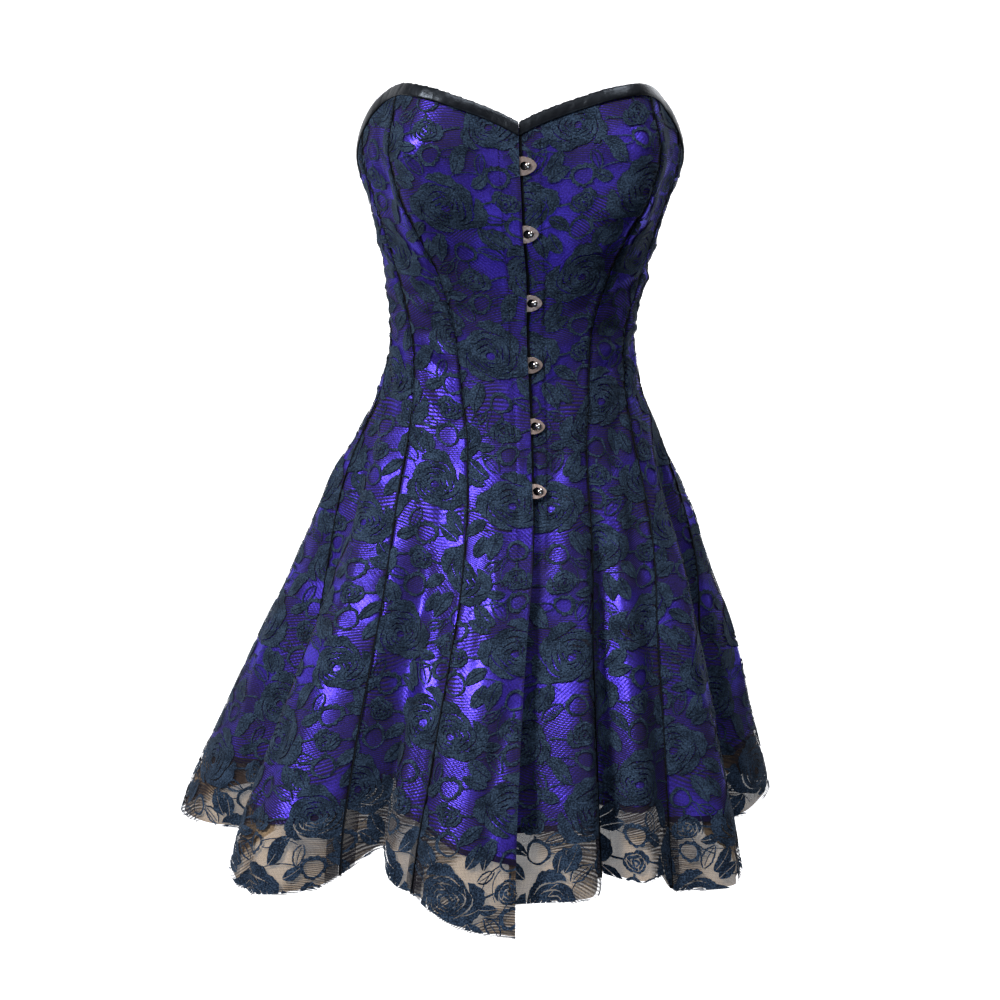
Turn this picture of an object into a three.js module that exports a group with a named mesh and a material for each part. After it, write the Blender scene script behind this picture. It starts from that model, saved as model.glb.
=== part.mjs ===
// Strapless corset dress with a front busk, filled out and hollow, in millimetres, +Z up.
// The wearer faces -Y and the wearer's left is +X. The origin is the middle of the waist.
// Twelve gores run from the neckline to the hem. Each is a satin panel with a lace panel over it.
import * as THREE from 'three';

// Thicknesses and clearances
const SATIN = 1.5; // satin with its cotton backing
const LACE = 1.0;
const CLEARANCE = 0.3; // between layers, and between panels at a seam
const FRONT_GAP = 0.8; // between the two front edges
const BINDING = 1.0;
const BINDING_WIDTH = 12; // of each leg of the folded binding
const UNDERLAP = 3.2; // how far the stud edge lies behind the loop edge
const UNDERLAP_FADE = 24; // degrees from the front edge
const OVERHANG = 60; // of the lace below the satin's hem
const SPAN = 2.5; // degrees to each side over which the slope of the face is taken

// Rows of the panels, counted down from the neckline
const HIP_HEIGHT = -30;
const BODICE_ROWS = 7;
const SKIRT_ROWS = 6;
const SKIRT_SPREAD = 1.35; // the skirt's rows widen towards the hem
const HEM_ROWS = 1;

// Busk
const LOOP_HEIGHTS = [156.6, 95.3, 32.8, -23.8, -79, -136.2];
const PLATE = { half: 8.5, straight: 3.5, reach: 15.5, thick: 1, under: 1.2, gap: 0.5 };
const KEYHOLE = { centre: 4.4, radius: 3.7, slot: 1.75, stud: 7.1 };
const STUD = { post: 1.3, head: 2.8, rim: 0.4, dome: 2.1, rest: 0.5, sides: 8 };

// Bust cups: a soft swell on each side, in degrees from the front of the section
const CUP = { middle: 38, spread: 27 };

// One row for each level section: half width, depth in front and behind, where its middle lies,
// how far the front edges are turned aside (degrees), the swell of the cups, and the share of the folds.
const SECTIONS = [
  { z: 240, side: 138, front: 92, back: 70, middle: 5, turn: -4.3, cup: 12, folds: 0 },
  { z: 205, side: 147, front: 99, back: 78, middle: 5, turn: -4.3, cup: 19, folds: 0 },
  { z: 170, side: 152, front: 104, back: 86, middle: 5.5, turn: -4.3, cup: 25, folds: 0 },
  { z: 130, side: 142, front: 104, back: 88, middle: 4.5, turn: -3.4, cup: 24, folds: 0 },
  { z: 95, side: 131.5, front: 99, back: 86, middle: 3, turn: -2.2, cup: 13, folds: 0 },
  { z: 55, side: 122.5, front: 90, back: 80, middle: 1.3, turn: 0.4, cup: 3, folds: 0 },
  { z: 0, side: 115, front: 82, back: 74, middle: -2, turn: 2.7, cup: 0, folds: 0 },
  { z: -45, side: 122, front: 86, back: 87, middle: -3.4, turn: 4, cup: 0, folds: 0.01 },
  { z: -90, side: 141, front: 97, back: 111, middle: -6, turn: 4.8, cup: 0, folds: 0.05 },
  { z: -140, side: 163, front: 116, back: 137, middle: -9.5, turn: 5.2, cup: 0, folds: 0.13 },
  { z: -200, side: 185, front: 146, back: 165, middle: -11, turn: 4, cup: 0, folds: 0.29 },
  { z: -280, side: 211, front: 186, back: 202, middle: -16, turn: 2, cup: 0, folds: 0.52 },
  { z: -360, side: 235, front: 222, back: 234, middle: -23, turn: 1.4, cup: 0, folds: 0.74 },
  { z: -440, side: 258, front: 252, back: 258, middle: -31, turn: 1.6, cup: 0, folds: 0.93 },
  { z: -510, side: 272, front: 272, back: 272, middle: -34, turn: 1.6, cup: 0, folds: 1 },
];

// Where the seams lie, in degrees from the front edge, the same on both halves
const SEAMS = [
  { z: 240, princess: 49.5, sideFront: 77, side: 100, sideBack: 125, back: 152 },
  { z: 140, princess: 46.5, sideFront: 75, side: 100, sideBack: 125, back: 152 },
  { z: 100, princess: 43, sideFront: 72, side: 98, sideBack: 124, back: 152 },
  { z: 35, princess: 36, sideFront: 64, side: 92, sideBack: 121, back: 151 },
  { z: -45, princess: 29, sideFront: 54, side: 86, sideBack: 118, back: 149 },
  { z: -98, princess: 22.5, sideFront: 46.5, side: 80, sideBack: 114, back: 147 },
  { z: -180, princess: 19, sideFront: 41.5, side: 73, sideBack: 108, back: 145 },
  { z: -270, princess: 17.5, sideFront: 38, side: 68, sideBack: 104, back: 142 },
  { z: -370, princess: 18, sideFront: 36.5, side: 64, sideBack: 100, back: 140 },
  { z: -510, princess: 20, sideFront: 34.5, side: 60, sideBack: 97, back: 138 },
];

// The gores of one half, from front to back: the seams they lie between, and their columns
const GORES = [
  { name: 'front', from: null, to: 'princess', columns: 4 },
  { name: 'princess', from: 'princess', to: 'sideFront', columns: 5 },
  { name: 'side_front', from: 'sideFront', to: 'side', columns: 7 },
  { name: 'side_back', from: 'side', to: 'sideBack', columns: 7 },
  { name: 'back', from: 'sideBack', to: 'back', columns: 7 },
  { name: 'centre_back', from: 'back', to: null, columns: 7 },
];

// The height of the neckline, at each angle from the front edge. In this table and the next
// four, a row past 180 degrees lets the halves meet smoothly at the centre back.
const NECKLINE = [
  { at: 0, z: 194 }, { at: 7, z: 203 }, { at: 22, z: 217 }, { at: 34, z: 226 },
  { at: 46, z: 230 }, { at: 56, z: 227 }, { at: 66, z: 218 }, { at: 76, z: 203 },
  { at: 85, z: 186 }, { at: 92, z: 169 }, { at: 99, z: 150 }, { at: 109, z: 132 },
  { at: 122, z: 118 }, { at: 140, z: 109 }, { at: 160, z: 104 }, { at: 180, z: 102 },
  { at: 200, z: 104 },
];

// How far each fold of the hem stands out from its section, at each angle from the front edge
const RIGHT_FOLDS = [
  { at: 0, out: 16 }, { at: 9, out: 20 }, { at: 15, out: 12 }, { at: 21, out: -14 },
  { at: 24, out: -14 }, { at: 29.5, out: -38 }, { at: 38, out: 8 }, { at: 48, out: 36 },
  { at: 56, out: 28 }, { at: 67, out: -36 }, { at: 81, out: 12 }, { at: 94, out: 30 },
  { at: 105, out: 8 }, { at: 118, out: -34 }, { at: 132, out: 24 }, { at: 146, out: -30 },
  { at: 161, out: 22 }, { at: 180, out: -22 }, { at: 199, out: 22 },
];
const LEFT_FOLDS = [
  { at: 0, out: -16 }, { at: 7, out: -6 }, { at: 15, out: 8 }, { at: 22, out: -32 },
  { at: 28, out: 6 }, { at: 35, out: -6 }, { at: 46, out: 26 }, { at: 54, out: 10 },
  { at: 63, out: -38 }, { at: 73, out: 2 }, { at: 84, out: 22 }, { at: 97, out: 6 },
  { at: 110, out: -34 }, { at: 126, out: 24 }, { at: 141, out: -28 }, { at: 157, out: 20 },
  { at: 180, out: -22 }, { at: 203, out: 20 },
];

// The height of the lace's cut hem, at each angle from the front edge
const RIGHT_HEM = [
  { at: 0, z: -502 }, { at: 9, z: -493 }, { at: 17, z: -477 }, { at: 23, z: -470 },
  { at: 29.5, z: -446 }, { at: 38, z: -474 }, { at: 48, z: -480 }, { at: 67, z: -456 },
  { at: 94, z: -458 }, { at: 118, z: -452 }, { at: 132, z: -472 }, { at: 160, z: -474 },
  { at: 180, z: -466 }, { at: 200, z: -474 },
];
const LEFT_HEM = [
  { at: 0, z: -484 }, { at: 15, z: -477 }, { at: 20, z: -468 }, { at: 26, z: -472 },
  { at: 31, z: -468 }, { at: 36, z: -487 }, { at: 47, z: -487 }, { at: 55, z: -474 },
  { at: 64, z: -462 }, { at: 73, z: -450 }, { at: 84, z: -438 }, { at: 110, z: -450 },
  { at: 126, z: -470 }, { at: 157, z: -474 }, { at: 180, z: -466 }, { at: 200, z: -474 },
];

// Finishes
const FINISH = {
  satin: new THREE.MeshStandardMaterial({ color: 0x3b22b4, roughness: 0.35, metalness: 0 }),
  lace: new THREE.MeshStandardMaterial({ color: 0x2b3c48, roughness: 0.85, metalness: 0 }),
  binding: new THREE.MeshStandardMaterial({ color: 0x15171d, roughness: 0.4, metalness: 0 }),
  steel: new THREE.MeshStandardMaterial({ color: 0xb7a8a0, roughness: 0.3, metalness: 1 }),
};

// A smooth curve through a table's rows that never swings past them
function curve(rows, along, value) {
  const sorted = [...rows].sort((a, b) => a[along] - b[along]);
  const x = sorted.map((row) => row[along]);
  const y = sorted.map((row) => row[value]);
  const steps = x.slice(1).map((right, i) => (y[i + 1] - y[i]) / (right - x[i]));
  const slopes = x.map((_, i) => {
    const before = steps[Math.max(i - 1, 0)];
    const after = steps[Math.min(i, steps.length - 1)];
    return before * after <= 0 ? 0 : (2 * before * after) / (before + after);
  });
  return (at) => {
    const place = THREE.MathUtils.clamp(at, x[0], x[x.length - 1]);
    const i = Math.min(Math.max(x.findIndex((right) => right >= place) - 1, 0), x.length - 2);
    const span = x[i + 1] - x[i];
    const t = (place - x[i]) / span;
    const ease = t * t * (3 - 2 * t);
    const lean = span * t * (1 - t) * (slopes[i] * (1 - t) - slopes[i + 1] * t);
    return y[i] * (1 - ease) + y[i + 1] * ease + lean;
  };
}

function curves(rows, along) {
  const names = Object.keys(rows[0]).filter((name) => name !== along);
  return Object.fromEntries(names.map((name) => [name, curve(rows, along, name)]));
}

const section = curves(SECTIONS, 'z');
const seam = curves(SEAMS, 'z');
const neckline = curve(NECKLINE, 'at', 'z');
const foldDepth = { right: curve(RIGHT_FOLDS, 'at', 'out'), left: curve(LEFT_FOLDS, 'at', 'out') };
const laceHem = { right: curve(RIGHT_HEM, 'at', 'z'), left: curve(LEFT_HEM, 'at', 'z') };
const SIGN = { right: -1, left: 1 };

const radians = THREE.MathUtils.degToRad;

function cupSwell(turned) {
  const away = Math.abs(Math.abs(turned) - CUP.middle) / CUP.spread;
  return away < 1 ? Math.cos((away * Math.PI) / 2) ** 2 : 0;
}

function underlap(half, angle) {
  if (half === 'right' || angle > UNDERLAP_FADE) {
    return 0;
  }
  return UNDERLAP * Math.cos((angle / UNDERLAP_FADE) * (Math.PI / 2)) ** 2;
}

// The satin's outer face, at an angle from the front edge and a height
function facePoint(half, angle, z) {
  const turned = SIGN[half] * angle + section.turn(z) * (1 - angle / 180);
  const sine = Math.sin(radians(turned));
  const cosine = Math.cos(radians(turned));
  const side = section.side(z);
  const depth = cosine > 0 ? section.front(z) : section.back(z);
  const swell = section.cup(z) * cupSwell(turned);
  const out = swell + section.folds(z) * foldDepth[half](angle) - underlap(half, angle);
  const outward = new THREE.Vector2(sine / side, -cosine / depth).normalize();
  const x = section.middle(z) + side * sine + outward.x * out;
  return new THREE.Vector3(x, -depth * cosine + outward.y * out, z);
}

// The directions of the face there: along the hem towards the wearer's left, up, and outward
function faceFrame(half, angle, z) {
  const low = Math.max(angle - SPAN, 0);
  const high = angle + SPAN;
  const across = facePoint(half, high, z).sub(facePoint(half, low, z));
  const degree = across.length() / (high - low);
  across.normalize().multiplyScalar(SIGN[half]);
  const up = facePoint(half, angle, z + 2).sub(facePoint(half, angle, z - 2)).normalize();
  const outward = across.clone().cross(up).normalize();
  return { across, up, outward, degree };
}

function movedOut(spot, out) {
  const { outward } = faceFrame(spot.half, spot.angle, spot.z);
  return facePoint(spot.half, spot.angle, spot.z).addScaledVector(outward, out);
}

// How far the binding reaches down the cloth, measured straight down
function bindingDrop(half, angle) {
  const z = neckline(angle);
  const low = Math.max(angle - SPAN, 0);
  const rise = (neckline(angle + SPAN) - neckline(low)) / (angle + SPAN - low);
  return BINDING_WIDTH * Math.hypot(1, rise / faceFrame(half, angle, z).degree);
}

function rowHeight(half, angle, row) {
  const top = neckline(angle);
  const bound = top - bindingDrop(half, angle);
  const satinHem = laceHem[half](angle) + OVERHANG;
  const inBodice = row - 1;
  const inSkirt = inBodice - BODICE_ROWS;
  const inHem = inSkirt - SKIRT_ROWS;
  if (row === 0) {
    return top;
  }
  if (inSkirt <= 0) {
    return THREE.MathUtils.lerp(bound, HIP_HEIGHT, inBodice / BODICE_ROWS);
  }
  if (inHem <= 0) {
    return THREE.MathUtils.lerp(HIP_HEIGHT, satinHem, (inSkirt / SKIRT_ROWS) ** SKIRT_SPREAD);
  }
  return satinHem - (OVERHANG * inHem) / HEM_ROWS;
}

const SATIN_ROWS = 1 + BODICE_ROWS + SKIRT_ROWS;
const LACE_ROWS = SATIN_ROWS + HEM_ROWS;

// The angle at a share of a gore's width, with the given clearance kept at both of its edges
function goreAngle(half, gore, share, z, kept) {
  const from = gore.from ? seam[gore.from](z) : 0;
  const to = gore.to ? seam[gore.to](z) : 180;
  const angle = THREE.MathUtils.lerp(from, to, share);
  const degree = faceFrame(half, angle, z).degree;
  const atFront = gore.from ? CLEARANCE : FRONT_GAP;
  const inset = (1 - share) * atFront - share * CLEARANCE;
  return angle + (kept * inset) / 2 / degree;
}

// Angle and height depend on each other, so a few rounds settle them
function goreSpot(half, gore, share, row, kept = 1) {
  let z = rowHeight(half, goreAngle(half, gore, share, 0, 0), row);
  let angle = 0;
  for (let round = 0; round < 4; round += 1) {
    angle = goreAngle(half, gore, share, z, kept);
    z = rowHeight(half, angle, row);
  }
  return { half, angle, z };
}

// A gore's spots, row by row down and column by column towards the wearer's left
function goreSpots(half, gore, rows) {
  const shares = Array.from({ length: gore.columns + 1 }, (_, i) => i / gore.columns);
  if (half === 'right') {
    shares.reverse();
  }
  return Array.from({ length: rows + 1 }, (_, row) =>
    shares.map((share) => goreSpot(half, gore, share, row)),
  );
}

function solid(points, faces) {
  const geometry = new THREE.BufferGeometry();
  geometry.setAttribute('position', new THREE.Float32BufferAttribute(points.flatMap((p) => p.toArray()), 3));
  geometry.setIndex(faces.flat());
  geometry.computeVertexNormals();
  return geometry;
}

function quad(a, b, c, d) {
  return [a, b, c, a, c, d];
}

// A closed wall of cloth between two distances from the satin's outer face
function wall(spots, inner, outer) {
  const rows = spots.length - 1;
  const columns = spots[0].length - 1;
  const outerPoints = spots.flat().map((spot) => movedOut(spot, outer));
  const innerPoints = spots.flat().map((spot) => movedOut(spot, inner));
  const count = outerPoints.length;
  const at = (row, column) => row * (columns + 1) + column;
  const faces = [];
  for (let row = 0; row < rows; row += 1) {
    for (let column = 0; column < columns; column += 1) {
      const [a, b] = [at(row, column), at(row + 1, column)];
      const [c, d] = [at(row + 1, column + 1), at(row, column + 1)];
      faces.push(quad(a, b, c, d), quad(a + count, d + count, c + count, b + count));
    }
  }
  for (let row = 0; row < rows; row += 1) {
    const [a, b] = [at(row, 0), at(row + 1, 0)];
    const [c, d] = [at(row, columns), at(row + 1, columns)];
    faces.push(quad(a, a + count, b + count, b), quad(c, d, d + count, c + count));
  }
  for (let column = 0; column < columns; column += 1) {
    const [a, b] = [at(0, column), at(0, column + 1)];
    const [c, d] = [at(rows, column), at(rows, column + 1)];
    faces.push(quad(a, b, b + count, a + count), quad(c, c + count, d + count, d));
  }
  return solid([...outerPoints, ...innerPoints], faces);
}

// The folded binding's section: which row it stands on, how far out, and how far above
const BOUND = { inside: -SATIN - CLEARANCE, outside: 2 * CLEARANCE + LACE };
const BINDING_SECTION = [
  { row: 1, out: BOUND.outside + BINDING, lift: 0 },
  { row: 0, out: BOUND.outside + BINDING, lift: CLEARANCE },
  { row: 0, out: (BOUND.outside + BOUND.inside) / 2, lift: CLEARANCE + 1.5 * BINDING },
  { row: 0, out: BOUND.inside - BINDING, lift: CLEARANCE },
  { row: 1, out: BOUND.inside - BINDING, lift: 0 },
  { row: 1, out: BOUND.inside, lift: 0 },
  { row: 0, out: BOUND.inside, lift: CLEARANCE },
  { row: 0, out: BOUND.outside, lift: CLEARANCE },
  { row: 1, out: BOUND.outside, lift: 0 },
];

// The columns that the binding passes, from the left front edge round the back to the right one
function bindingColumns() {
  const left = GORES.flatMap((gore) =>
    Array.from({ length: gore.columns }, (_, i) => ({ half: 'left', gore, share: i / gore.columns })),
  );
  const right = left.map((column) => ({ ...column, half: 'right' })).reverse();
  const back = { half: 'left', gore: GORES[GORES.length - 1], share: 1 };
  return [...left, back, ...right];
}

function bindingGeometry() {
  const columns = bindingColumns();
  const around = BINDING_SECTION.length;
  const points = columns.flatMap(({ half, gore, share }) => {
    const kept = gore.from === null && share === 0 ? 1 : 0;
    const spots = [0, 1].map((row) => goreSpot(half, gore, share, row, kept));
    return BINDING_SECTION.map(({ row, out, lift }) => {
      const point = movedOut(spots[row], out);
      point.z += lift;
      return point;
    });
  });
  const faces = [];
  for (let column = 0; column < columns.length - 1; column += 1) {
    for (let i = 0; i < around; i += 1) {
      const next = (i + 1) % around;
      const [a, b] = [column * around + i, column * around + next];
      const climbs = BINDING_SECTION[i].row > BINDING_SECTION[next].row;
      faces.push(climbs ? quad(b, a, a + around, b + around) : quad(a, a + around, b + around, b));
    }
  }
  const outline = BINDING_SECTION.map(({ row, out, lift }) => new THREE.Vector2(out, (1 - row) * BINDING_WIDTH + lift));
  const last = (columns.length - 1) * around;
  for (const [a, b, c] of THREE.ShapeUtils.triangulateShape(outline, [])) {
    faces.push([a, c, b].reverse(), [a + last, b + last, c + last].reverse());
  }
  return solid(points, faces);
}

// A frame on the loop edge of the busk: across the opening, up, and out, at the plate's underside
function buskFrame(z) {
  const spot = { half: 'right', angle: FRONT_GAP / 2 / faceFrame('right', 0, z).degree, z };
  const { across, up, outward } = faceFrame(spot.half, spot.angle, z);
  const right = up.clone().cross(outward).normalize();
  const origin = movedOut(spot, -PLATE.under).addScaledVector(across, PLATE.gap);
  return new THREE.Matrix4().makeBasis(right, up, outward).setPosition(origin);
}

function plateGeometry() {
  const { half, straight, reach, thick } = PLATE;
  const outline = new THREE.Shape();
  outline.moveTo(0, -half).lineTo(straight, -half);
  outline.bezierCurveTo(straight + 6, -half, reach, -half / 2.5, reach, 0);
  outline.bezierCurveTo(reach, half / 2.5, straight + 6, half, straight, half);
  outline.lineTo(0, half).closePath();
  const { centre, radius, slot, stud } = KEYHOLE;
  const meet = Math.asin(slot / radius);
  const hole = new THREE.Path();
  hole.absarc(centre, 0, radius, meet, 2 * Math.PI - meet);
  hole.absarc(stud, 0, slot, -Math.PI / 2, Math.PI / 2);
  outline.holes.push(hole.closePath());
  return new THREE.ExtrudeGeometry(outline, { depth: thick, bevelEnabled: false, curveSegments: 6 });
}

// The lace's face near the left edge, straight from one row to the next as its wall is
function laceFace(angle, z) {
  const heights = Array.from({ length: LACE_ROWS + 1 }, (_, row) => rowHeight('left', angle, row));
  const below = heights.findIndex((height) => height <= z);
  const [upper, lower] = [heights[below - 1], heights[below]].map((height) =>
    movedOut({ half: 'left', angle, z: height }, CLEARANCE + LACE),
  );
  return upper.lerp(lower, (upper.z - z) / (upper.z - lower.z));
}

// Where a stud's foot stands on the lace of the other edge, measured from the plate's underside
function studFoot(frame, z) {
  const degree = faceFrame('left', 0, z).degree;
  const spot = { half: 'left', angle: KEYHOLE.stud / degree, z };
  const intoFrame = frame.clone().invert();
  const lace = new THREE.Vector3();
  for (let round = 0; round < 6; round += 1) {
    lace.copy(laceFace(spot.angle, spot.z)).applyMatrix4(intoFrame);
    spot.angle += (KEYHOLE.stud - lace.x) / degree;
    spot.z -= lace.y;
  }
  const along = new THREE.Vector3().setFromMatrixColumn(frame, 2);
  const tilt = faceFrame('left', spot.angle, spot.z).outward.angleTo(along);
  return lace.z + STUD.post * Math.tan(tilt) + STUD.rest;
}

function studGeometry(foot) {
  const shelf = PLATE.thick + CLEARANCE;
  const dome = Array.from({ length: 4 }, (_, i) => {
    const turn = (i * Math.PI) / 8;
    return new THREE.Vector2(STUD.head * Math.cos(turn), shelf + STUD.rim + STUD.dome * Math.sin(turn));
  });
  const profile = [
    new THREE.Vector2(0, foot),
    new THREE.Vector2(STUD.post, foot),
    new THREE.Vector2(STUD.post, shelf),
    new THREE.Vector2(STUD.head, shelf),
    ...dome,
    new THREE.Vector2(0, shelf + STUD.rim + STUD.dome),
  ];
  return new THREE.LatheGeometry(profile, STUD.sides).rotateX(Math.PI / 2);
}

function named(name, geometry, finish) {
  const mesh = new THREE.Mesh(geometry, finish);
  mesh.name = name;
  return mesh;
}

function buildGores(group) {
  for (const half of ['right', 'left']) {
    for (const gore of GORES) {
      const spots = goreSpots(half, gore, LACE_ROWS);
      const satin = wall(spots.slice(0, SATIN_ROWS + 1), -SATIN, 0);
      const lace = wall(spots, CLEARANCE, CLEARANCE + LACE);
      group.add(named(`satin_${gore.name}_${half}`, satin, FINISH.satin));
      group.add(named(`lace_${gore.name}_${half}`, lace, FINISH.lace));
    }
  }
}

function buildBusk(group) {
  LOOP_HEIGHTS.forEach((z, i) => {
    const frame = buskFrame(z);
    const plate = named(`busk_loop_${i + 1}`, plateGeometry(), FINISH.steel);
    const post = studGeometry(studFoot(frame, z)).translate(KEYHOLE.stud, 0, 0);
    const stud = named(`busk_stud_${i + 1}`, post, FINISH.steel);
    for (const mesh of [plate, stud]) {
      mesh.applyMatrix4(frame);
      group.add(mesh);
    }
  });
}

const dress = new THREE.Group();
buildGores(dress);
dress.add(named('neckline_binding', bindingGeometry(), FINISH.binding));
buildBusk(dress);

export default dress;
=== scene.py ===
"""A strapless corset dress: satin gores under rose lace, a busk and a bound neckline.

The tables hold millimetres in the model's frame. The origin is the middle of the waist, +Z is
up, the wearer faces -Y and the wearer's left is +X. Objects are made in metres.
"""

from __future__ import annotations

import itertools
import logging
import math
from dataclasses import dataclass, field
from enum import Enum
from typing import NamedTuple, Sequence

import bmesh
import bpy
import numpy as np
from mathutils import Euler, Matrix, Vector

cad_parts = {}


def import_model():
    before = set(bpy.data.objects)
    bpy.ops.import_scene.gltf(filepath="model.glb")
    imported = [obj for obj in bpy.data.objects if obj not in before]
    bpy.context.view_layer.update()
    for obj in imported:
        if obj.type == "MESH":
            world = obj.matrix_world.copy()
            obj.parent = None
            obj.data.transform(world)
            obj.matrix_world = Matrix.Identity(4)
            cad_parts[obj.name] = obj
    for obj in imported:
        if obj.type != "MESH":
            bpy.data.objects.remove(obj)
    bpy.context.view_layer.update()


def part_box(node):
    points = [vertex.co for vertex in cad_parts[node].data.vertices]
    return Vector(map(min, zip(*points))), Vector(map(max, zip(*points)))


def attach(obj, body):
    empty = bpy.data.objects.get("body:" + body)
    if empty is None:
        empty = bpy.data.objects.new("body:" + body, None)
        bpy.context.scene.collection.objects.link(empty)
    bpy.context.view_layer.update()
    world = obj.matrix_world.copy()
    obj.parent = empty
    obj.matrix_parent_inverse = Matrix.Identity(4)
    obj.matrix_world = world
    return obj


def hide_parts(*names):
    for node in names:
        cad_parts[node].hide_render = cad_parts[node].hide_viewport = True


log = logging.getLogger("dress")

# Short names for types, and a millimetre in metres
Array = np.ndarray
Piece = bpy.types.Object
Material = bpy.types.Material
Socket = bpy.types.NodeSocket
Pair = tuple[float, float]
Triple = tuple[float, float, float]
MM = 0.001


class Half(Enum):
    """The two halves of the dress, as the wearer has them."""

    RIGHT = -1
    LEFT = 1

    @property
    def word(self) -> str:
        """The half's name inside the names of pieces."""
        return self.name.lower()


# Clearances and thicknesses in millimetres, as in the solids
SATIN = 1.5
LACE = 1.0
CLEARANCE = 0.3
FRONT_GAP = 0.8
UNDERLAP = 3.2
UNDERLAP_FADE = 24.0
OVERHANG = 60.0
NET_LEVEL = CLEARANCE + LACE / 2
MOTIF_LEVEL = CLEARANCE + LACE

# How far apart slopes are read, in degrees and in millimetres of height
SPAN = 2.5
RISE = 2.0

# About where the top edge and the lace's hem are, to start from
NECK_GUESS = 150.0
HEM_GUESS = -440.0

# The cups, in degrees from the middle of the front
CUP_MIDDLE = 38.0
CUP_SPREAD = 27.0


class Section(NamedTuple):
    """A level section of the dress: its half width, depths, middle, turn, cups and folds."""

    z: float
    side: float
    front: float
    back: float
    middle: float
    turn: float
    cup: float
    folds: float


class SeamRow(NamedTuple):
    """Where the seams of one half lie at a height, in degrees from the front edge."""

    z: float
    princess: float
    side_front: float
    side: float
    side_back: float
    back: float


class AtAngle(NamedTuple):
    """A value at an angle in degrees from the front edge."""

    at: float
    value: float


SECTIONS = (
    Section(240, 138, 92, 70, 5, -4.3, 12, 0),
    Section(205, 147, 99, 78, 5, -4.3, 19, 0),
    Section(170, 152, 104, 86, 5.5, -4.3, 25, 0),
    Section(130, 142, 104, 88, 4.5, -3.4, 24, 0),
    Section(95, 131.5, 99, 86, 3, -2.2, 13, 0),
    Section(55, 122.5, 90, 80, 1.3, 0.4, 3, 0),
    Section(0, 115, 82, 74, -2, 2.7, 0, 0),
    Section(-45, 122, 86, 87, -3.4, 4, 0, 0.01),
    Section(-90, 141, 97, 111, -6, 4.8, 0, 0.05),
    Section(-140, 163, 116, 137, -9.5, 5.2, 0, 0.13),
    Section(-200, 185, 146, 165, -11, 4, 0, 0.29),
    Section(-280, 211, 186, 202, -16, 2, 0, 0.52),
    Section(-360, 235, 222, 234, -23, 1.4, 0, 0.74),
    Section(-440, 258, 252, 258, -31, 1.6, 0, 0.93),
    Section(-510, 272, 272, 272, -34, 1.6, 0, 1),
)

SEAMS = (
    SeamRow(240, 49.5, 77, 100, 125, 152),
    SeamRow(140, 46.5, 75, 100, 125, 152),
    SeamRow(100, 43, 72, 98, 124, 152),
    SeamRow(35, 36, 64, 92, 121, 151),
    SeamRow(-45, 29, 54, 86, 118, 149),
    SeamRow(-98, 22.5, 46.5, 80, 114, 147),
    SeamRow(-180, 19, 41.5, 73, 108, 145),
    SeamRow(-270, 17.5, 38, 68, 104, 142),
    SeamRow(-370, 18, 36.5, 64, 100, 140),
    SeamRow(-510, 20, 34.5, 60, 97, 138),
)


def by_angle(*pairs: Pair) -> tuple[AtAngle, ...]:
    """Name the two columns of a table of angles."""
    return tuple(AtAngle(*pair) for pair in pairs)


NECKLINE = by_angle(
    (0, 194), (7, 203), (22, 217), (34, 226), (46, 230), (56, 227), (66, 218), (76, 203),
    (85, 186), (92, 169), (99, 150), (109, 132), (122, 118), (140, 109), (160, 104),
    (180, 102), (200, 104),
)  # fmt: skip

FOLDS = {
    Half.RIGHT: by_angle(
        (0, 16), (9, 20), (15, 12), (21, -14), (24, -14), (29.5, -38), (38, 8), (48, 36),
        (56, 28), (67, -36), (81, 12), (94, 30), (105, 8), (118, -34), (132, 24), (146, -30),
        (161, 22), (180, -22), (199, 22),
    ),
    Half.LEFT: by_angle(
        (0, -16), (7, -6), (15, 8), (22, -32), (28, 6), (35, -6), (46, 26), (54, 10),
        (63, -38), (73, 2), (84, 22), (97, 6), (110, -34), (126, 24), (141, -28), (157, 20),
        (180, -22), (203, 20),
    ),
}  # fmt: skip

HEMS = {
    Half.RIGHT: by_angle(
        (0, -502), (9, -493), (17, -477), (23, -470), (29.5, -446), (38, -474), (48, -480),
        (67, -456), (94, -458), (118, -452), (132, -472), (160, -474), (180, -466),
        (200, -474),
    ),
    Half.LEFT: by_angle(
        (0, -484), (15, -477), (20, -468), (26, -472), (31, -468), (36, -487), (47, -487),
        (55, -474), (64, -462), (73, -450), (84, -438), (110, -450), (126, -470),
        (157, -474), (180, -466), (200, -474),
    ),
}  # fmt: skip


class Curve:
    """A smooth curve through a table's rows that never swings past them."""

    def __init__(self, at: Sequence[float], value: Sequence[float]) -> None:
        """Sort the rows and work out the slope at each.

        Args:
            at: Where the rows lie.
            value: The rows' values.
        """
        order = np.argsort(at)
        self.at = np.asarray(at, float)[order]
        self.value = np.asarray(value, float)[order]
        steps = np.diff(self.value) / np.diff(self.at)
        before = np.concatenate([steps[:1], steps])
        after = np.concatenate([steps, steps[-1:]])
        product = before * after
        total = np.where(product > 0, before + after, 1.0)
        self.slope = np.where(product > 0, 2 * product / total, 0.0)

    def __call__(self, at: Array | float) -> Array:
        """Read the curve.

        Args:
            at: One place or an array of them.

        Returns:
            The values there, held at the ends of the table.
        """
        place = np.clip(at, self.at[0], self.at[-1])
        i = np.clip(np.searchsorted(self.at, place, side="left") - 1, 0, len(self.at) - 2)
        span = self.at[i + 1] - self.at[i]
        t = (place - self.at[i]) / span
        ease = t * t * (3 - 2 * t)
        lean = span * t * (1 - t) * (self.slope[i] * (1 - t) - self.slope[i + 1] * t)
        return self.value[i] * (1 - ease) + self.value[i + 1] * ease + lean


def angle_curve(rows: Sequence[AtAngle]) -> Curve:
    """Make the curve of a table of angles."""
    return Curve([row.at for row in rows], [row.value for row in rows])


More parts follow.
